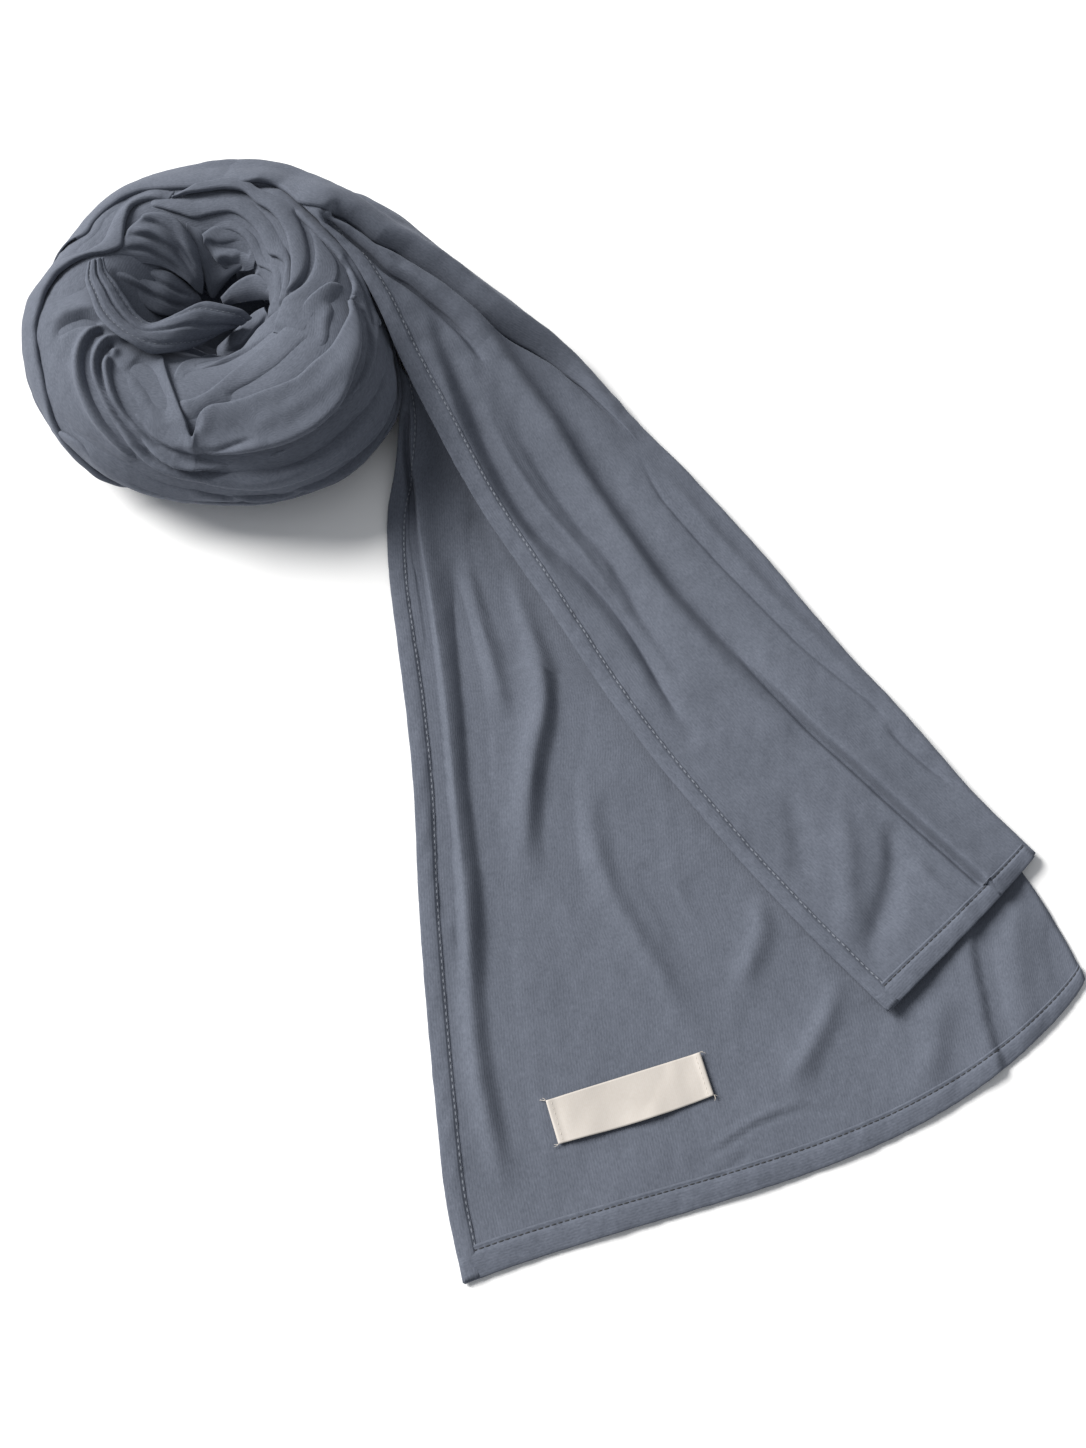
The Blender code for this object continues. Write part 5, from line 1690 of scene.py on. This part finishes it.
@dataclass(frozen=True)
class JerseyFinish:
    """Matte knitted jersey.

    Attributes:
        name: Name of the material.
        shade: Colour of the cloth.
        pale: Colour of its paler grains.
        grain: Size of the knit's grain in metres.
        depth: Depth of the grain in metres.
        sheen: Strength of the soft light at grazing angles.
        rib: Width of one rib of the knit in metres.
    """

    name: str = "jersey"
    shade: tuple = (0.078, 0.088, 0.111, 1.0)
    pale: tuple = (0.138, 0.152, 0.189, 1.0)
    grain: float = 0.00075
    depth: float = 0.00014
    sheen: float = 0.08
    rib: float = 0.0011

    def make(self) -> bpy.types.Material:
        """Make the material.

        Returns:
            The material.
        """
        shader = Shader(self.name)
        places = shader.node("UVMap", {"uv_map": "cloth"}).outputs["UV"]
        drawn = shader.node("Mapping", Vector=places, Scale=(1.0, 0.45, 1.0)).outputs["Vector"]
        fine = shader.node("TexNoise", Vector=drawn, Scale=1.0 / self.grain, Detail=3.0,
                           Roughness=0.65).outputs["Fac"]
        broad = shader.node("TexNoise", Vector=shader.node("TexCoord").outputs["Object"], Scale=38.0,
                            Detail=3.0, Roughness=0.6).outputs["Fac"]
        middle = shader.node("TexNoise", Vector=drawn, Scale=300.0, Detail=4.0,
                             Roughness=0.7).outputs["Fac"]
        rib = (shader.value(shader.node("SeparateXYZ", Vector=places).outputs["X"])
               * (2 * math.pi / self.rib)).sine()
        grain = (shader.value(fine) * 1.5 + shader.value(middle) * 0.7 + shader.value(broad) * 0.4 - 0.83
                 + rib * 0.03)
        bump = shader.node("Bump", Height=shader.value(fine) + rib * 0.15, Strength=0.6,
                           Distance=self.depth).outputs["Normal"]
        colour = shader.blend(grain, self.shade, self.pale)
        return shader.finish(Base_Color=colour, Roughness=0.92, Normal=bump, Sheen_Weight=self.sheen,
                             Sheen_Roughness=0.45, Sheen_Tint=(0.80, 0.86, 1.0, 1.0),
                             Specular_IOR_Level=0.18)


@dataclass(frozen=True)
class ThreadFinish:
    """Matte sewing thread, with painted shade at the ends of each stitch.

    Attributes:
        name: Name of the material.
        shade: Its colour.
        hole: Painted shade at each end of a stitch, where it dives into the cloth.
    """

    name: str = "thread"
    shade: tuple = (0.20, 0.22, 0.26, 1.0)
    hole: tuple = (0.010, 0.011, 0.014, 1.0)

    def make(self) -> bpy.types.Material:
        """Make the material.

        Returns:
            The material.
        """
        shader = Shader(self.name)
        places = shader.node("TexCoord").outputs["Object"]
        noise = shader.node("TexNoise", Vector=places, Scale=2600.0, Detail=2.0).outputs["Fac"]
        darker = tuple(0.7 * c for c in self.shade[:3]) + (1.0,)
        # reach runs from 0 in a stitch's middle to 1 at its ends and is the mask of the painted shade there.
        reach = shader.value(shader.node("Attribute", {"attribute_name": "reach"}).outputs["Fac"])
        strand = shader.blend(noise, darker, self.shade)
        # Painted shade: each stitch darkens towards the hole colour at its two ends.
        return shader.finish(Base_Color=shader.blend(reach * reach * reach, strand, self.hole),
                             Roughness=0.7, Sheen_Weight=0.15)


@dataclass(frozen=True)
class SatinFinish:
    """Woven satin of the label.

    Attributes:
        name: Name of the material.
        shade: Its colour.
        shadow: Colour between its threads.
        warp: Distance between threads across it, in metres.
        weft: The same along it.
    """

    name: str = "satin"
    shade: tuple = (0.53, 0.50, 0.47, 1.0)
    shadow: tuple = (0.46, 0.41, 0.36, 1.0)
    warp: float = 0.00042
    weft: float = 0.00075

    def make(self) -> bpy.types.Material:
        """Make the material.

        Returns:
            The material.
        """
        shader = Shader(self.name)
        places = shader.node("UVMap", {"uv_map": "cloth"}).outputs["UV"]
        parts = shader.node("SeparateXYZ", Vector=places)
        warp = (shader.value(parts.outputs["X"]) * (2 * math.pi / self.warp)).sine()
        weft = (shader.value(parts.outputs["Y"]) * (2 * math.pi / self.weft)).sine()
        noise = shader.value(shader.node("TexNoise", Vector=places, Scale=900.0, Detail=3.0).outputs["Fac"])
        weave = warp * 0.16 + weft * 0.08 + noise * 0.5 + 0.3
        bump = shader.node("Bump", Height=weave, Strength=0.35, Distance=0.00005).outputs["Normal"]
        return shader.finish(Base_Color=shader.blend(weave, self.shadow, self.shade),
                             Roughness=0.42 + noise * 0.12, Normal=bump, Sheen_Weight=0.1,
                             Anisotropic=0.4)


@dataclass(frozen=True)
class Studio:
    """Floor, lights and camera.

    Attributes:
        floor: Colour of the floor.
        sky: Strength of the light from all round.
        key: Strength of the main light.
        angle: Width of the main light as seen from the floor, in degrees.
        aim: Direction that the main light comes from.
        camera: Place of the camera in metres.
        pitch: Tilt of the camera off straight down, in degrees.
        lens: Focal length in millimetres.
        drop: How far the floor lies below the object, in metres, so that the two don't flicker.
        size: Width of the floor in metres.
        sensor: Height of the camera's sensor in millimetres.
        warm: Colour of the main light.
        cool: Colour of the light from all round.
    """

    floor: tuple = (0.95, 0.95, 0.95, 1.0)
    sky: float = 0.37
    key: float = 5.6
    angle: float = 32.0
    aim: tuple = (-0.72, 0.37, 0.60)
    camera: tuple = (0.0035, -0.3009, 0.7937)
    pitch: float = 20.0
    lens: float = 50.0
    drop: float = 0.0003
    size: float = 12.0
    sensor: float = 36.0
    warm: tuple = (1.0, 0.985, 0.96)
    cool: tuple = (0.93, 0.96, 1.0, 1.0)

    def _key(self) -> None:
        """Add the main light."""
        data = bpy.data.lights.new("key", "SUN")
        data.energy, data.angle, data.color = self.key, math.radians(self.angle), self.warm
        light = bpy.data.objects.new("key", data)
        light.location = self.aim
        light.rotation_euler = (-Vector(self.aim)).to_track_quat("-Z", "Y").to_euler()
        bpy.context.scene.collection.objects.link(light)

    def build(self) -> None:
        """Build the studio."""
        bpy.ops.mesh.primitive_plane_add(size=self.size, location=(0, 0, -self.drop))
        floor = bpy.context.object
        floor.name = "floor"
        floor.data.materials.append(Shader("floor").finish(Base_Color=self.floor, Roughness=0.85,
                                                           Specular_IOR_Level=0.1))
        world = bpy.data.worlds.new("sky")
        world.use_nodes = True
        sky = world.node_tree.nodes["Background"].inputs
        sky["Color"].default_value, sky["Strength"].default_value = self.cool, self.sky
        bpy.context.scene.world = world
        self._key()
        data = bpy.data.cameras.new("camera")
        data.lens, data.sensor_fit, data.sensor_height = self.lens, "VERTICAL", self.sensor
        camera = bpy.data.objects.new("camera", data)
        camera.location = self.camera
        camera.rotation_euler = (math.radians(self.pitch), 0.0, 0.0)
        bpy.context.scene.collection.objects.link(camera)
        bpy.context.scene.camera = camera
        bpy.context.scene.view_settings.view_transform = "Standard"
        LOG.info("studio: floor, light and camera")


def main() -> None:
    """Build the headscarf from the coil outward, then the studio."""
    logging.basicConfig(level=logging.INFO, format="%(name)s %(message)s", stream=sys.stdout)
    jersey = JerseyFinish().make()
    hemmed = JerseyFinish(name="jersey_hem", shade=(0.075, 0.085, 0.108, 1.0)).make()
    # Every thread darkens both ends of each stitch towards its hole colour: painted shade.
    thread = ThreadFinish().make()
    # Painted shade: a near-black copy of the same thread, for the end hems' stitches that lie in shade.
    painted_shade_thread = ThreadFinish(name="thread_in_painted_shade", shade=(0.018, 0.020, 0.025, 1.0)).make()
    satin = SatinFinish().make()
    # The cream thread's hole colour is painted shade at the label's stitch ends.
    cream = ThreadFinish(name="cream_thread", shade=(0.60, 0.55, 0.49, 1.0),
                         hole=(0.44, 0.39, 0.34, 1.0)).make()
    lining = Band("coil_lining", "coil_core", tuple(
        (plan, -78, plan, 262) for plan in range(0, 361, 30)), lift=(-3.4, -3.4), roll=(0.0, 0.0),
        crown=0.0, rows=96, columns=40, seed=11, closed=True, hole=PIT_SHIFT).build(jersey)
    bands = {band.name: band.build(jersey, [lining]) for band in COIL_BANDS}
    for ribbon in HEART_RIBBONS:
        ribbon.build(jersey, [bands["coil_heart"]])
    EndStrip().build(hemmed, thread)
    under = TailPanel("tail_under_cloth", "tail_under", UNDER_SECTIONS, UNDER_FOLDS, lower=0.9,
                      rows=290, columns=138, seed=12, shown=SHOWN_UNDER)
    over = TailPanel("tail_over_cloth", "tail_over", OVER_SECTIONS, OVER_FOLDS, STRAP_SECTIONS,
                     rows=290, columns=136, roll=2.3, seed=13)
    under_sheet = under.build(jersey, ["floor"])
    over_sheet = over.build(jersey, [under_sheet, bands["coil_middle"]])
    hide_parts("tail_core")
    FoldOver("tail_pleat_cloth", over, PLEAT_EDGE, ROLL_EDGE, height=2.2, roll=1.1, rows=110,
             columns=24).build(jersey, [over_sheet])
    FoldOver("tail_roll_cloth", over, ROLL_EDGE, height=3.2, roll=1.6, ends=(0.16, 0.4), lead=50.0,
             rows=210).build(jersey, [over_sheet])
    Hem("under_side_hem_cloth", "under_side_hem", under, 7.8).build(hemmed, thread, [under_sheet])
    # The end hems' stitches take the near-black copy of the thread: painted shade.
    Hem("under_end_hem_cloth", "under_end_hem", under, 10.0, end=True, seam=1.9).build(
        hemmed, painted_shade_thread, [under_sheet])
    Hem("over_side_hem_cloth", "over_side_hem", over, 7.0, first=over.strap_share * over.length - 16).build(
        hemmed, thread, [over_sheet])
    # Painted shade here too: the near-black copy of the thread.
    Hem("over_end_hem_cloth", "over_end_hem", over, 8.5, end=True, seam=1.6).build(
        hemmed, painted_shade_thread, [over_sheet])
    Label().build(under_sheet, satin, cream)
    Studio().build()


if __name__ == "__main__":
    main()
